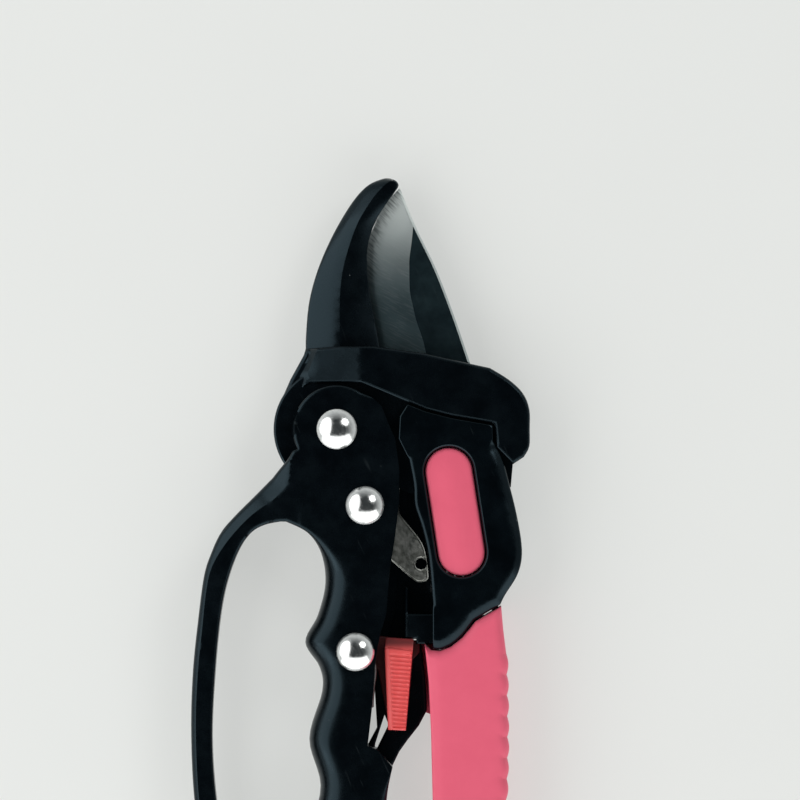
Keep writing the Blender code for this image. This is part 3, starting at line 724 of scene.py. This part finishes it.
def moulding_height(plan, depth):
    """The front of the handle and guard: flat, with rounded sides, and sloped outside the guard's crest."""
    x, y = plan[:, 0], plan[:, 1]
    finger = distance(plan, curve(FINGER_SIDE))
    palm = distance(plan, PLATE_RIGHT + curve(PALM_SIDE) + curve(BUTT))
    radius = np.full(len(plan), 0.8)
    radius = np.where(finger <= depth + 1e-6, finger_radius(y), radius)
    radius = np.where(palm <= depth + 1e-6, palm_radius(y), radius)
    ends = np.maximum(1 - ease(-y, 14.0, 78.0), ease(-y, 98.0, 141.0))
    level = GUARD + (FACE - GUARD) * np.maximum(ends, ease(x, -13.0, -9.0))
    slope = CREST_SLOPE * beyond(plan, curve(GUARD_CREST, 3))
    return level - slope - fillet(depth, radius)


def handle_and_guard():
    head = arc(PIVOT, PLATE_RADIUS, 206, 56, 60)
    butt = curve(BUTT + GUARD_OUTER[::-1][1:])
    outline = FLARE[1:] + head + PLATE_RIGHT + curve(PALM_SIDE)[:-1] + butt
    loop = curve(GUARD_INNER) + curve(FINGER_SIDE)[::-1]
    crest = [curve(GUARD_CREST, 3)[1:-3]]
    back = mirrored(moulding_height)
    body = lens("handle_and_guard", outline, moulding_height, back, [loop], crest, BROAD_RINGS, 0.7, 1.7)
    join(body, lens("lobe", LOBE, lobe_front, rounded(LOBE_LOW, 1.0)))
    web = [(9.9, -12.75), (17.7, -16.65), (34.0, -16.65), (34.0, 30.0)]
    web += [(-30.0, 30.0), (-30.0, 0.0), (0.0, 0.0)]
    cut(body, block("fork", circle(PIVOT, FORK_RADIUS, 96), -FORK, FORK))
    cut(body, block("fork_side", web, -FORK, FORK))
    cut(body, block("tail_slot", TAIL_CLEARANCE, -SLOT, SLOT))
    cut(body, block("lock_slot", lock_slot_outline(), -SLOT + 0.05, 5.0))
    cut(body, block("rebate", beside_plate(-1.8, 4.0, -52.9), -FORK, REBATE_HIGH))
    for place, head_radius, shank in RIVETS.values():
        cut(body, stepped_hole(place, shank + GAP, head_radius - CAP_STEP + GAP, -FACE + BACK_RECESS))
    return body


def lobe_front(plan, depth):
    return LOBE_HIGH - fillet(depth, 0.5)


TAIL_CLEARANCE = [
    (0.4, -10.0), (0.2, -17.0), (1.2, -23.5), (6.0, -27.6), (13.0, -33.6), (18.5, -38.5),
    (30.0, -38.5), (30.0, -8.0), (14.0, -8.0),
]
RIVETS = {
    "pivot": (PIVOT, PIVOT_HEAD, PIVOT_SHANK),
    "tail": (TAIL_RIVET, SMALL_HEAD, SMALL_SHANK),
    "lock": (LOCK_RIVET, SMALL_HEAD, SMALL_SHANK),
}
PLATE_EDGE = [(15.6, -15.0), (15.6, -17.8), (14.4, -27.8), (13.2, -35.0), (12.4, -46.0), (11.0, -50.5)]


def beside_plate(start, end, foot):
    """A band along the fork plates' right edge, between two distances from it and down to a foot."""
    near = [(x + start, y) for x, y in PLATE_EDGE]
    far = [(x + end, y) for x, y in PLATE_EDGE[::-1]]
    return near + [(near[-1][0] - 0.4, foot), (far[0][0] - 0.4, foot)] + far


def lock_slot_outline():
    hub = arc(LOCK_RIVET, CATCH_HUB + 2 * GAP, 75, 265, 32)
    return hub + [(7.0, -62.6), (8.2, -72.6), (30.0, -90.0), (30.0, -49.5)]


SPINE = [(15.7, 60.3), (19.4, 51.1), (24.7, 40.1), (29.1, 28.75), (33.1, 17.0)]
BLADE_ROOT = [
    (34.0, 12.4), (32.6, 7.8), (28.0, 3.0), (21.6, -1.4), (17.4, -6.4), (15.9, -13.0),
    (15.5, -19.5),
]
BLADE_TAIL = [
    (15.8, -21.4), (17.9, -24.1), (20.9, -27.9), (22.1, -31.0), (22.75, -35.5), (22.6, -37.7),
    (20.4, -38.3), (18.4, -37.15), (13.4, -32.7), (7.0, -27.2), (2.0, -23.0), (0.9, -18.0),
    (0.8, -13.0),
]
CUTTING_EDGE = [(3.3, 20.0), (3.5, 26.0), (3.9, 32.5), (6.3, 43.0), (10.1, 52.5), (12.3, 56.6)]
TAIL_HOLE = (21.0, -33.75)
# Where the ground bevel meets the dark flat, from the spine down.
SHOULDER = [
    (17.6, 55.8), (18.7, 52.4), (19.0, 50.6), (18.65, 46.75), (18.1, 42.3), (18.1, 37.9),
    (18.25, 34.25), (19.0, 30.6), (19.9, 26.9), (21.4, 22.5), (22.1, 19.6), (23.0, 15.0),
]
SPINE_CHAMFER = 0.55
BEVEL_SLOPE = 0.085


def blade_height(plan, depth):
    """Flat, with a ground bevel down to the cutting edge, and a narrow chamfer along the spine."""
    bevel = BEVEL_SLOPE * beyond(plan, curve(SHOULDER))
    spine = chamfer(distance(plan, curve(SPINE)), SPINE_CHAMFER, 0.4)
    tail = 0.25 * (plan[:, 1] < -10) * chamfer(depth, 0.5, 1.0)
    return np.maximum(BLADE - bevel, 0.12) - spine - tail


def blade():
    eye = arc(PIVOT, EYE_RADIUS, 250, 125, 48)
    tail = curve(BLADE_ROOT[3:] + BLADE_TAIL, 4)
    outline = curve(SPINE) + BLADE_ROOT[:3] + tail + eye + curve(CUTTING_EDGE)
    holes = [circle(PIVOT, PIVOT_SHANK + GAP), circle(TAIL_RIVET, SMALL_SHANK + GAP), circle(TAIL_HOLE, 1.4)]
    creases = [curve(SHOULDER)[1:]]
    body = lens("blade_steel", outline, blade_height, mirrored(blade_height), holes, creases, spacing=1.0)
    mark_blade(body)
    return body


def mark_blade(body):
    """Says which faces are ground, coated or bare, where the bevel's painted highlight falls and where its
    marks are.
    """
    mesh = body.data
    plan = plan_of([v.co for v in mesh.vertices])
    spine = distance(plan, curve(SPINE)) < SPINE_CHAMFER
    # Painted highlight: brightest towards the tip and on the spine chamfer.
    store(mesh, "painted_tip_highlight", np.maximum(ease(plan[:, 1], 28.0, 60.0) ** 1.2, 0.6 * spine))
    close = 1 - ease(distance(plan, curve(JAW_LIP_LINE)), 1.0, 3.8)
    store(mesh, "near_edge", close * ease(plan[:, 1], 33.0, 38.0))
    centres = plan_of([p.center for p in mesh.polygons])
    ground = beyond(centres, curve(SHOULDER)) > 0
    ground |= distance(centres, curve(SPINE)) < SPINE_CHAMFER
    bare = centres[:, 1] < 6.0
    mesh.polygons.foreach_set("material_index", np.where(bare, 2, np.where(ground, 0, 1)).astype(np.int32))


def plan_of(points):
    """Places in the frame as design millimetres on the plan."""
    return (np.array([tuple(p) for p in points])[:, :2] - np.array(PIVOT_PLACE)[:2]) / MM


def store(mesh, name, values):
    attribute = mesh.attributes.new(name, "FLOAT", "POINT")
    attribute.data.foreach_set("value", values.astype(np.float32))


def rivet(name, place, head, shank):
    """A domed head with a short upright rim, and a shank."""
    base = FACE + 0.05
    rim = 0.35
    rise = HEAD_TOP - base - rim
    sphere = (head**2 + rise**2) / (2 * rise)
    widest = math.asin(head / sphere)
    dome = []
    for i in range(17):
        a = widest * (1 - i / 17)
        dome.append((sphere * math.sin(a), base + rim + rise - sphere * (1 - math.cos(a))))
    profile = [(shank, -FACE + BACK_RECESS + GAP), (shank, base), (head - 0.12, base), (head, base + 0.12)]
    return turned(name, place, profile + dome, 72)


def rivet_cap(name, place, head):
    """The closed end, with a shallow dimple."""
    radius = head - CAP_STEP
    low = -FACE + 0.2
    high = -FACE + BACK_RECESS - GAP
    dimple = [(0.2, low + 0.7), (0.8, low + 0.62), (1.4, low + 0.3), (1.8, low + 0.06), (2.2, low)]
    edge = [(radius - 0.7, low), (radius - 0.3, low + 0.1), (radius - 0.08, low + 0.3), (radius, low + 0.6)]
    return turned(name, place, dimple + edge + [(radius, high)], 72)


def coil(start, end, radius, turns, per_turn=40):
    """Points of a helix between two places."""
    start, end = Vector(start), Vector(end)
    along = (end - start).normalized()
    side = along.orthogonal().normalized()
    across = along.cross(side)
    count = int(turns * per_turn)
    angles = (math.tau * i / per_turn for i in range(count + 1))
    return [
        start + (end - start) * i / count + (side * math.cos(a) + across * math.sin(a)) * radius
        for i, a in enumerate(angles)
    ]


LOCK_SPRING_LEG = [(4.9, 4.5), (4.5, 8.5), (4.15, 12.0), (4.1, 14.0)]


def lock_spring():
    """A coil round the lock rivet, with one long leg down under the front plate."""
    x, y = LOCK_RIVET
    steps = 60
    turn = arc(LOCK_RIVET, LOCK_COIL_RADIUS, -330, 0, steps)
    rise = LEG_HEIGHT - LOCK_COIL_LOW
    ring = [(px, py, LOCK_COIL_LOW + rise * i / steps) for i, (px, py) in enumerate(turn)]
    leg = [(x + dx, y - dy) for dx, dy in LOCK_SPRING_LEG]
    path = ring + [(px, py, LEG_HEIGHT) for px, py in curve([ring[-1][:2], *leg], 6)[1:]]
    return wire("lock_spring_wire", path, LOCK_WIRE)


# Anvil lever


JAW_OUTER = [
    (-7.75, 18.0), (-7.75, 23.25), (-6.9, 32.0), (-4.6, 40.3), (-0.9, 48.7), (3.6, 56.3),
    (7.4, 60.6), (11.1, 62.4), (13.3, TIP_END - 0.12), (14.9, 61.8), (15.4, 60.9),
]
JAW_LIP_LINE = [
    (15.15, 60.3), (12.6, 56.6), (10.4, 53.3), (8.9, 50.2), (7.9, 46.7), (7.5, 43.2), (7.6, 39.0),
    (8.1, 34.0), (9.1, 28.5), (10.2, 23.5), (10.9, 19.0), (11.0, 14.0),
]
JAW_CREST = [
    (0.85, 14.0), (0.85, 21.5), (0.7, 30.6), (1.2, 38.0), (2.7, 44.5), (4.9, 50.75), (7.1, 54.8),
    (9.65, 58.5), (11.9, 60.9), (13.6, 62.1),
]
HOUSING_END = curve(
    [(38.15, 15.25), (42.9, 12.3), (46.4, 8.9), (48.0, 4.9), (48.1, 0.0), (48.0, -4.3), (46.6, -7.0)], 4
)
HOUSING_OUTLINE = [
    (-6.5, 11.4), (-9.4, 9.6), (-13.4, 8.3), (-11.6, 12.4), (-8.3, 18.4), (-7.8, 20.0),
    (0.85, 20.7), (8.9, 20.7), (22.1, 18.85), (33.5, 16.25),
    *HOUSING_END,
    (43.9, -8.75), (39.8, -4.6), (39.2, 1.3), (28.5, 3.1), (22.25, 4.7), (6.0, 11.5),
]
CREST_ROUNDING = 1.4
FACET_RIGHT = 6.0
FACET_SLOPE = 0.2
FACET_LEFT = [(-4.3, 21.5), (-8.6, 10.0)]
COVER_TOP = [(15.4, -2.4), (15.7, 3.2), (17.6, 6.2), (22.3, 4.35), (28.5, 2.75), (38.8, 0.95)]
COVER_OUTER = [
    (38.9, -3.0), (41.1, -6.75), (43.0, -13.75), (44.6, -20.2), (45.9, -27.2), (46.1, -32.25),
    (44.9, -36.6), (42.0, -41.25), (40.75, -43.75),
]
TONGUE = [(34.2, -47.6), (32.9, -49.4), (30.9, -51.8), (28.25, -53.9), (25.75, -54.9), (23.9, -54.7)]
COVER_LEFT = [(23.9, -43.75), (22.9, -32.25), (21.25, -24.65), (19.4, -18.9), (19.1, -13.75), (17.9, -7.4)]
CHEEK_WEB = [(-2.0, -6.0), (10.2, -12.1), (18.0, -16.0), (26.0, -16.0), (26.0, 9.0), (-2.0, 18.0)]
SHOULDER_BLOCK = [
    (20.0, -16.0), (15.4, -2.4), (15.4, 12.0), (40.0, 12.0), (46.0, 2.0), (46.75, -6.75),
    (43.9, -8.75), (43.4, -14.5),
]
SPRING_CHANNEL = [(10.0, -27.0), (27.0, -27.0), (39.4, -30.0), (39.0, -38.0), (38.0, -45.8), (10.0, -45.8)]
LUG = [(16.9, -52.4), (16.9, -39.4), (17.8, -39.4), (17.8, -46.0), (28.0, -46.0), (28.0, -52.4)]
LUG_LIP = [(19.8, -51.0), (28.0, -51.0), (28.0, -53.6), (19.8, -53.6)]
CATCH_POCKET = [(17.65, -49.3), (20.9, -49.3), (20.9, -53.0), (17.65, -53.0)]
TANG = [
    (27.0, -46.5), (38.6, -46.5), (38.9, -43.5), (40.3, -43.5), (40.0, -49.6), (38.0, -49.8),
    (37.4, -90.0), (35.8, -128.0), (27.4, -128.0), (27.0, -90.0),
]
GRIP_POCKET = [
    (26.7, -40.0), (40.7, -40.0), (40.3, -50.0), (38.3, -50.2), (37.7, -90.0), (36.1, -128.3),
    (27.1, -128.3), (26.7, -90.0),
]
EDGE_GROOVE = 2.6


def jaw_height(plan, depth):
    """Two slopes that meet at the crest: a broad one to the outer edge and a flatter one to the lip."""
    outer = distance(plan, curve(JAW_OUTER))
    lip = distance(plan, curve(JAW_LIP_LINE))
    crest, side = nearest(plan, curve(JAW_CREST))
    peak = JAW - (JAW - 3.9) * ease(plan[:, 1], 52.0, 62.0)
    left = peak - (peak - JAW_EDGE) * (crest / (outer + crest + 1e-9)) ** CREST_ROUNDING
    right = peak - (peak - JAW_LIP_HEIGHT) * (crest / (lip + crest + 1e-9)) ** CREST_ROUNDING
    edge = np.where(lip <= depth + 1e-6, 0.12, 0.45)
    return np.where(side > 0, left, right) - fillet(depth, edge)


def housing_height(plan, depth):
    """Flat, with a facet that leans to the left, and a steep end beyond it."""
    facet = FACET_SLOPE * np.maximum(FACET_RIGHT - plan[:, 0], 0.0)
    left_end = 0.9 * beyond(plan, FACET_LEFT)
    return np.maximum(HOUSING - facet - left_end, CHEEK - 0.6) - fillet(depth, 0.9)


def blade_slot():
    """Everything the blade sweeps through."""
    side = [(x - GAP, y) for x, y in CUTTING_EDGE[::-1]]
    eye = arc(PIVOT, PLATE_RADIUS + GAP, 120, 205, 24)
    sweep = arc(PIVOT, SWEEP_RADIUS, -68, 12, 40)
    below = [(-24.0, -16.0), (-24.0, -45.0)]
    above = [(46.0, 24.0), (46.0, 64.0)]
    return [(16.6, 62.3), (15.2, 60.6)] + side + eye + below + sweep + above


def strip_outline(depth_out, depth_in):
    """A band that follows the cutting edge, between two distances behind it."""
    front = curve(CUTTING_EDGE)
    near = [(x - depth_out, y) for x, y in front]
    far = [(x - depth_in, y) for x, y in front[::-1]]
    return near + far


def cover_outline():
    return COVER_TOP + curve(COVER_OUTER, 4) + curve(TONGUE, 4) + curve(COVER_LEFT, 4)


def anvil_moulding():
    creases = [curve(JAW_CREST)[2:-2]]
    jaw = lens("jaw", curve(JAW_OUTER) + JAW_LIP_LINE, jaw_height, mirrored(jaw_height), (), creases)
    creases = [[(FACET_RIGHT, 12.2), (FACET_RIGHT, 20.2)], [(-8.2, 11.9), (-4.9, 19.8)]]
    housing = lens("housing", HOUSING_OUTLINE, housing_height, mirrored(housing_height), (), creases)
    body = lens("anvil_moulding", cover_outline(), CHEEK, rounded(-FACE, 1.6), rings=FINE_RINGS)
    join(body, block("shoulder", SHOULDER_BLOCK, SHOULDER_LOW, SHOULDER_HIGH))
    cut(body, block("spring_channel", SPRING_CHANNEL, CHANNEL_LOW, 1.5 * BEYOND))
    join(body, block("web", beside_plate(0.4, 12.6, -52.5), -FACE + 0.01, WEB_HIGH))
    join(body, block("web_lip", beside_plate(-1.4, 2.0, -52.5), LIP_LOW, LIP_HIGH))
    lug = (rounded(LUG_HIGH, 0.8), rounded(LUG_LOW, 0.6))
    join(body, lens("lug", LUG, *lug, rings=FINE_RINGS[:5], step=0.4))
    lip_top = rounded(LUG_HIGH, 0.5)
    join(body, lens("lug_lip", LUG_LIP, lip_top, CATCH_HIGH + 2 * GAP, rings=FINE_RINGS[:4], step=0.4))
    join(body, block("tang", TANG, -TANG_HALF, TANG_HALF))
    join(body, housing)
    join(body, lens("boss", circle(PIVOT, BOSS_RADIUS, 120), rounded(CHEEK, 0.7), rounded(-CHEEK, 0.7)))
    join(body, block("cheek_web", CHEEK_WEB, -CHEEK + 0.05, CHEEK - 0.05))
    join(body, jaw)
    cut(body, block("blade_slot", blade_slot(), -SLOT, SLOT))
    cut(body, block("strip_groove", strip_outline(-1.0, EDGE_GROOVE + GAP), -SLOT, SLOT))
    cut(body, hole(PIVOT, BUSH_RADIUS + GAP))
    cut(body, block("catch_pocket", CATCH_POCKET, CATCH_LOW - GAP, CATCH_HIGH + GAP))
    for place in COVER_SCREWS:
        cut(body, stepped_hole(place, SCREW_SHANK + GAP, SCREW_HEAD + GAP, -FACE + 2.4))
    return body


def cover_height(plan, depth):
    """Flat, with a broad chamfer down the outer side and tighter edges elsewhere."""
    outer = distance(plan, curve(COVER_OUTER, 4)[2:] + curve(TONGUE, 4))
    left = distance(plan, curve(COVER_LEFT, 4))
    window = distance(plan, stadium(PAD_CENTRE, PAD_LENGTH, PAD_WIDTH, PAD_TILT), True)
    level = FACE - chamfer(outer, 2.1, 1.3) - chamfer(left, 0.7, 0.45) - chamfer(window, 0.5, 0.35)
    return level - fillet(depth, 0.3)


def handle_cover():
    window = stadium(PAD_CENTRE, PAD_LENGTH, PAD_WIDTH, PAD_TILT)
    body = lens("handle_front_cover", cover_outline(), cover_height, CHEEK + 0.02, [window], spacing=1.2)
    for place in COVER_SCREWS:
        cut(body, hole(place, SCREW_SHANK + GAP, 0.0, FACE - 1.8))
    return body


def thumb_pad():
    outline = stadium(PAD_CENTRE, PAD_LENGTH - 2 * GAP, PAD_WIDTH - 2 * GAP, PAD_TILT)
    return lens("thumb_pad_rubber", outline, pad_height, CHEEK + 0.02)


def pad_height(plan, depth):
    return FACE - 0.75 + 0.45 * ease(depth, 0.5, 6.0) - fillet(depth, 1.0)


GRIP_INNER = [(24.5, -128.0), (24.2, -108.0), (23.9, -92.0), (23.5, -75.6), (22.9, -62.9), (21.9, -53.6)]
GRIP_TOP = [
    (23.6, -55.1), (25.75, -55.3), (28.45, -54.25), (31.15, -52.1), (33.2, -49.7), (34.5, -47.95),
    (41.0, -44.2),
]
GRIP_BUTT = [(39.3, -131.0), (36.5, -137.6), (32.0, -139.5), (27.4, -137.5), (24.5, -131.0)]
# A thin lip at the grip's back that closes the gap beside the other handle's lobe.
GRIP_LIP = [(20.2, -52.9), (24.6, -52.9), (24.6, -72.0), (22.0, -71.0), (21.4, -62.0)]


GRIP_BULGE = 43.0
BULGE_HEIGHT = -80.0


def grip_side(y):
    """The outer side's distance from the pivot line: bulging at mid length, and drawn in towards the butt."""
    t = (y - BULGE_HEIGHT) / 60.0
    return GRIP_BULGE - 1.6 * t * t - 1.1 * max(-t, 0.0)


def grip_outline():
    steps = 10
    scallops = []
    for i in range(SCALLOPS * steps + 1):
        y = SCALLOP_TOP - SCALLOP_PITCH * i / steps
        swell = abs(math.sin(math.pi * i / steps))
        scallops.append((grip_side(y) - SCALLOP_DEPTH * (1 - swell), y))
    return GRIP_INNER + GRIP_TOP + [(41.5, -50.0)] + scallops + curve(GRIP_BUTT)


def grip_height(plan, depth):
    """Flat, with a sloped strip down the inner side, and a rounded outer side with dents at the scallops."""
    inner = distance(plan, GRIP_INNER)
    side = np.clip(GRIP_BULGE - plan[:, 0], 0.0, 6.0)
    phase = (SCALLOP_TOP - plan[:, 1]) / SCALLOP_PITCH
    dent = (1 - np.abs(np.sin(np.pi * phase))) ** 2 * (1 - ease(side, 0.5, 4.0))
    dent *= (phase > 0) * (phase < SCALLOPS)
    radius = np.where(inner <= depth + 1e-6, 0.5, 2.2)
    return FACE - chamfer(inner, 2.5, 0.55) - 0.5 * dent - fillet(depth, radius)


def grip():
    rings = (0.03, 0.15, 0.4, 0.8, 1.3, 1.9, 2.6)
    body = lens("grip_rubber", grip_outline(), grip_height, mirrored(grip_height), rings=rings)
    cut(body, block("tang_pocket", GRIP_POCKET, -CHEEK, CHEEK))
    join(body, block("lip", GRIP_LIP, -FACE + 0.02, -7.85))
    return body


def cover_screw(name, place):
    low = -FACE + 0.3
    neck = -FACE + 2.1
    profile = [(SCREW_HEAD - 0.7, low), (SCREW_HEAD - 0.25, low + 0.15), (SCREW_HEAD, low + 0.5)]
    profile += [(SCREW_HEAD, neck), (SCREW_SHANK, neck), (SCREW_SHANK, 6.6)]
    body = turned(name, place, profile, 48)
    for width, length in (SCREW_SLOT, SCREW_SLOT[::-1]):
        x, y = width / 2, length / 2
        corners = ((-x, -y), (x, -y), (x, y), (-x, y))
        slot = [(place[0] + dx, place[1] + dy) for dx, dy in corners]
        cut(body, block("recess", slot, -BEYOND, low + 1.0))
    return body


# Catch


CATCH_ARM = [
    (10.2, -51.7), (16.2, -52.2), (16.4, -55.1), (18.6, -55.2), (18.6, -52.8), (20.6, -52.8),
    (20.6, -55.8), (19.0, -57.6), (17.4, -74.2), (12.9, -74.2), (12.2, -70.5), (11.2, -65.0),
    (10.2, -60.0),
]
CATCH_PAD = [(11.9, -54.4), (18.9, -55.25), (17.2, -75.2), (12.75, -75.0)]
CATCH_BROW = [(12.2, -52.0), (19.2, -52.4), (18.9, -55.5), (11.95, -55.5)]
BROW_LOW = 4.95
RIBS_TOP = -56.0
RIBS_END = -74.4


def catch_pad_height(plan, depth):
    """Ribs across the pad, short of its inner edge, which stays smooth."""
    x, y = plan[:, 0], plan[:, 1]
    wave = 0.5 - 0.5 * np.cos(math.tau * (RIBS_TOP - y - 0.08 * (x - 15.0)) / RIB_PITCH)
    left = 11.9 + (-54.4 - y) * 0.041 + 1.3
    zone = ease(x, left - 0.2, left + 0.3) * (y < RIBS_TOP) * (y > RIBS_END)
    edge = 0.55 * chamfer(x - left + 1.6, 1.4, 1.0) + fillet(depth, 0.4)
    return PAD_HIGH - RIB_DEPTH * wave**0.7 * zone - edge


def brow_height(plan, depth):
    """The overhang above the pad slopes down towards the lug."""
    top = distance(plan, [CATCH_PAD[0], CATCH_PAD[1]])
    above = plan[:, 1] > -54.4 - (plan[:, 0] - 11.9) * 0.121
    slope = np.maximum(PAD_HIGH - 0.3 - 0.5 * top, BROW_LOW + 0.3)
    return np.where(above, slope, PAD_HIGH - 0.5) - fillet(depth, 0.15)


def lock_lever():
    """The catch: a hub, an arm with a hooked nose, and a ribbed pad for the thumb."""
    hub = arc(LOCK_RIVET, CATCH_HUB, 50, 300, 40)
    outline = hub + CATCH_ARM[::-1]
    body = lens("lock_lever_red", outline, rounded(CATCH_HIGH, 0.4), rounded(CATCH_LOW, 0.4), spacing=1.0)
    rings = (0.03, 0.12, 0.3, 0.5)
    join(body, lens("pad", CATCH_PAD, catch_pad_height, CATCH_LOW + 0.4, (), (), rings, 0.2, 0.24))
    join(body, lens("brow", CATCH_BROW, brow_height, BROW_LOW, rings=(0.05, 0.2, 0.5), step=0.3, spacing=0.5))
    cut(body, hole(LOCK_RIVET, SMALL_SHANK + GAP))
    mark_painted_shade(body)
    return body


def mark_painted_shade(body):
    """Says how far each point is down in the handle's opening or up by the lug, where shade is painted onto
    the red.
    """
    mesh = body.data
    corners = [v.co for v in mesh.vertices]
    plan = plan_of(corners)
    low = (np.array([c.z for c in corners]) - PIVOT_PLACE.z) / MM
    # Painted shade: full below the handle's faces, and strong on the brow by the lug.
    store(mesh, "recess", np.maximum(1 - ease(low, 2.4, 5.4), 0.85 * ease(plan[:, 1], -55.4, -53.2)))


def build():
    black = black_plastic("black_moulding", (0.0003, 0.0008, 0.0014), (0.0008, 0.0016, 0.0025), 0.26)
    black_cover = black_plastic("black_cover", (0.0003, 0.0009, 0.0015), (0.0008, 0.0018, 0.0028), 0.24)
    pink = soft_pink("pink_rubber_skin", (0.8, 0.12, 0.195), (0.77, 0.108, 0.18), 0.55)
    red = red_plastic("red_moulding")
    bevel = ground_steel("ground_bevel")
    coat = coated_steel("blade_coat")
    bare = steel("bare_steel", (0.6, 0.61, 0.57), (0.25, 0.26, 0.23), 0.44, (1.0, 1.4, 1.0), 20.0, 0.9, 0.02)
    chrome = steel("nickel_plate", (0.86, 0.87, 0.86), (0.7, 0.71, 0.7), 0.17, (1.0, 2.5, 1.0), 30.0, 0.5)
    spring = steel("spring_steel", (0.5, 0.51, 0.51), (0.34, 0.35, 0.35), 0.3)
    alloy = steel("strip_alloy", (0.6, 0.61, 0.61), (0.45, 0.46, 0.46), 0.38)
    bushes = light_plastic("bearing_plastic")

    lever, jaw_lever, catch = "blade_lever", "anvil_lever", "catch"
    finish(handle_and_guard(), [black], lever, "black_plastic", "left_handle", "finger_guard")
    finish(blade(), [bevel, coat, bare], lever, "blade_steel", "blade", sharp=4)
    for label, (place, head, shank) in RIVETS.items():
        made = rivet(f"{label}_rivet_dome", place, head, shank)
        finish(made, [chrome], lever, "rivet_chrome", f"{label}_rivet")
        made = rivet_cap(f"{label}_rivet_end", place, head)
        finish(made, [chrome], lever, "rivet_chrome", f"{label}_rivet_cap")
    finish(lock_spring(), [spring], lever, "spring_wire", "lock_spring")
    made = wire("return_spring_wire", coil(*RETURN_SPRING, RETURN_COIL_RADIUS, 6), SPRING_WIRE)
    finish(made, [spring], None, "spring_wire", "return_spring")
    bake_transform(made)
    for name in ("pivot_bush_front", "pivot_bush_back"):
        frame["nodes"][name].data.materials.clear()
        frame["nodes"][name].data.materials.append(bushes)

    finish(anvil_moulding(), [black], jaw_lever, "black_plastic", "anvil_lever", sharp=14)
    outline = strip_outline(2 * GAP, EDGE_GROOVE)
    strip = lens("anvil_insert", outline, rounded(BLADE, 0.2), rounded(-BLADE, 0.2))
    finish(strip, [alloy], jaw_lever, "anvil_alloy", "anvil_strip")
    finish(handle_cover(), [black_cover], jaw_lever, "black_plastic", "handle_cover")
    finish(thumb_pad(), [pink], jaw_lever, "pink_rubber", "thumb_pad")
    finish(grip(), [pink], jaw_lever, "pink_rubber", "grip")
    for label, place in zip(("upper", "lower"), COVER_SCREWS):
        made = cover_screw(f"back_screw_{label}", place)
        finish(made, [bare], jaw_lever, "screw_steel", f"cover_screw_{label}")
    finish(lock_lever(), [red], catch, "red_plastic", "lock_lever")


# Studio


VIEW_WIDTH = 200.0  # millimetres across the image
VIEW_CENTRE = (15.75, 7.25)
CAMERA_DISTANCE = 2.4
SENSOR = 36.0


def camera():
    data = bpy.data.cameras.new("camera")
    data.sensor_width = SENSOR
    data.lens = SENSOR * CAMERA_DISTANCE / (VIEW_WIDTH * MM)
    data.clip_end = 20.0
    made = linked("camera", data)
    made.location = Vector(placed([(*VIEW_CENTRE, 0.0)])[0]) + Vector((0.0, 0.0, CAMERA_DISTANCE))
    bpy.context.scene.camera = made


def floor():
    size = 6.0
    data = bpy.data.meshes.new("floor")
    corners = [(-size, -size, 0.0), (size, -size, 0.0), (size, size, 0.0), (-size, size, 0.0)]
    data.from_pydata(corners, [], [(0, 1, 2, 3)])
    made = linked("floor", data)
    values = {
        "Specular IOR Level": 0.1, "Emission Color": (0.98, 1.0, 0.975, 1.0), "Emission Strength": 0.48,
    }
    material, tree, shader = new_material("floor_paint", values)
    clouds = grain(tree, 60.0, 2.0)
    colour = mixed(tree, clouds, (0.33, 0.335, 0.325), (0.35, 0.355, 0.345))
    dress(tree, shader, colour, ranged(tree, clouds, 0.3, 0.7, 0.8, 0.9), clouds, 0.01)
    data.materials.append(material)


def softbox(name, shape, around, down, distance_to, width, length, share):
    """A soft light at an angle down from overhead and a bearing around from +X, which lights a level surface
    by its share of the exposure."""
    data = bpy.data.lights.new(name, "AREA")
    data.shape = shape
    data.size = width
    data.size_y = length
    tilt, turn = math.radians(down), math.radians(around)
    data.energy = share * math.pi**2 * distance_to**2 / math.cos(tilt)
    made = linked(name, data)
    away = Vector((math.sin(tilt) * math.cos(turn), math.sin(tilt) * math.sin(turn), math.cos(tilt)))
    made.location = Vector((0.01, 0.045, 0.0)) + away * distance_to
    made.rotation_mode = "QUATERNION"
    made.rotation_quaternion = away.to_track_quat("Z", "Y")


def world():
    """A dim room, dark overhead and paler towards the horizon."""
    made = bpy.data.worlds.new("room")
    made.use_nodes = True
    bpy.context.scene.world = made
    tree = made.node_tree
    up = node(tree, "TexCoord").outputs["Generated"]
    rise = node(tree, "SeparateXYZ", {"Vector": up}).outputs["Z"]
    tone = ranged(tree, rise, 0.1, 0.75, 0.0, 1.0)
    colour = mixed(tree, tone, (0.62, 0.64, 0.64), (0.03, 0.034, 0.036))
    tree.links.new(colour, tree.nodes["Background"].inputs["Color"])


def lights():
    softbox("left_light", "ELLIPSE", 172.0, 52.0, 1.0, 1.7, 1.0, 0.45)
    softbox("near_light", "RECTANGLE", 270.0, 60.0, 1.0, 3.0, 1.1, 0.8)
    softbox("right_light", "ELLIPSE", 42.0, 48.0, 1.1, 0.5, 0.5, 0.15)


build()
camera()
floor()
world()
lights()
bpy.context.scene.view_settings.view_transform = "Standard"
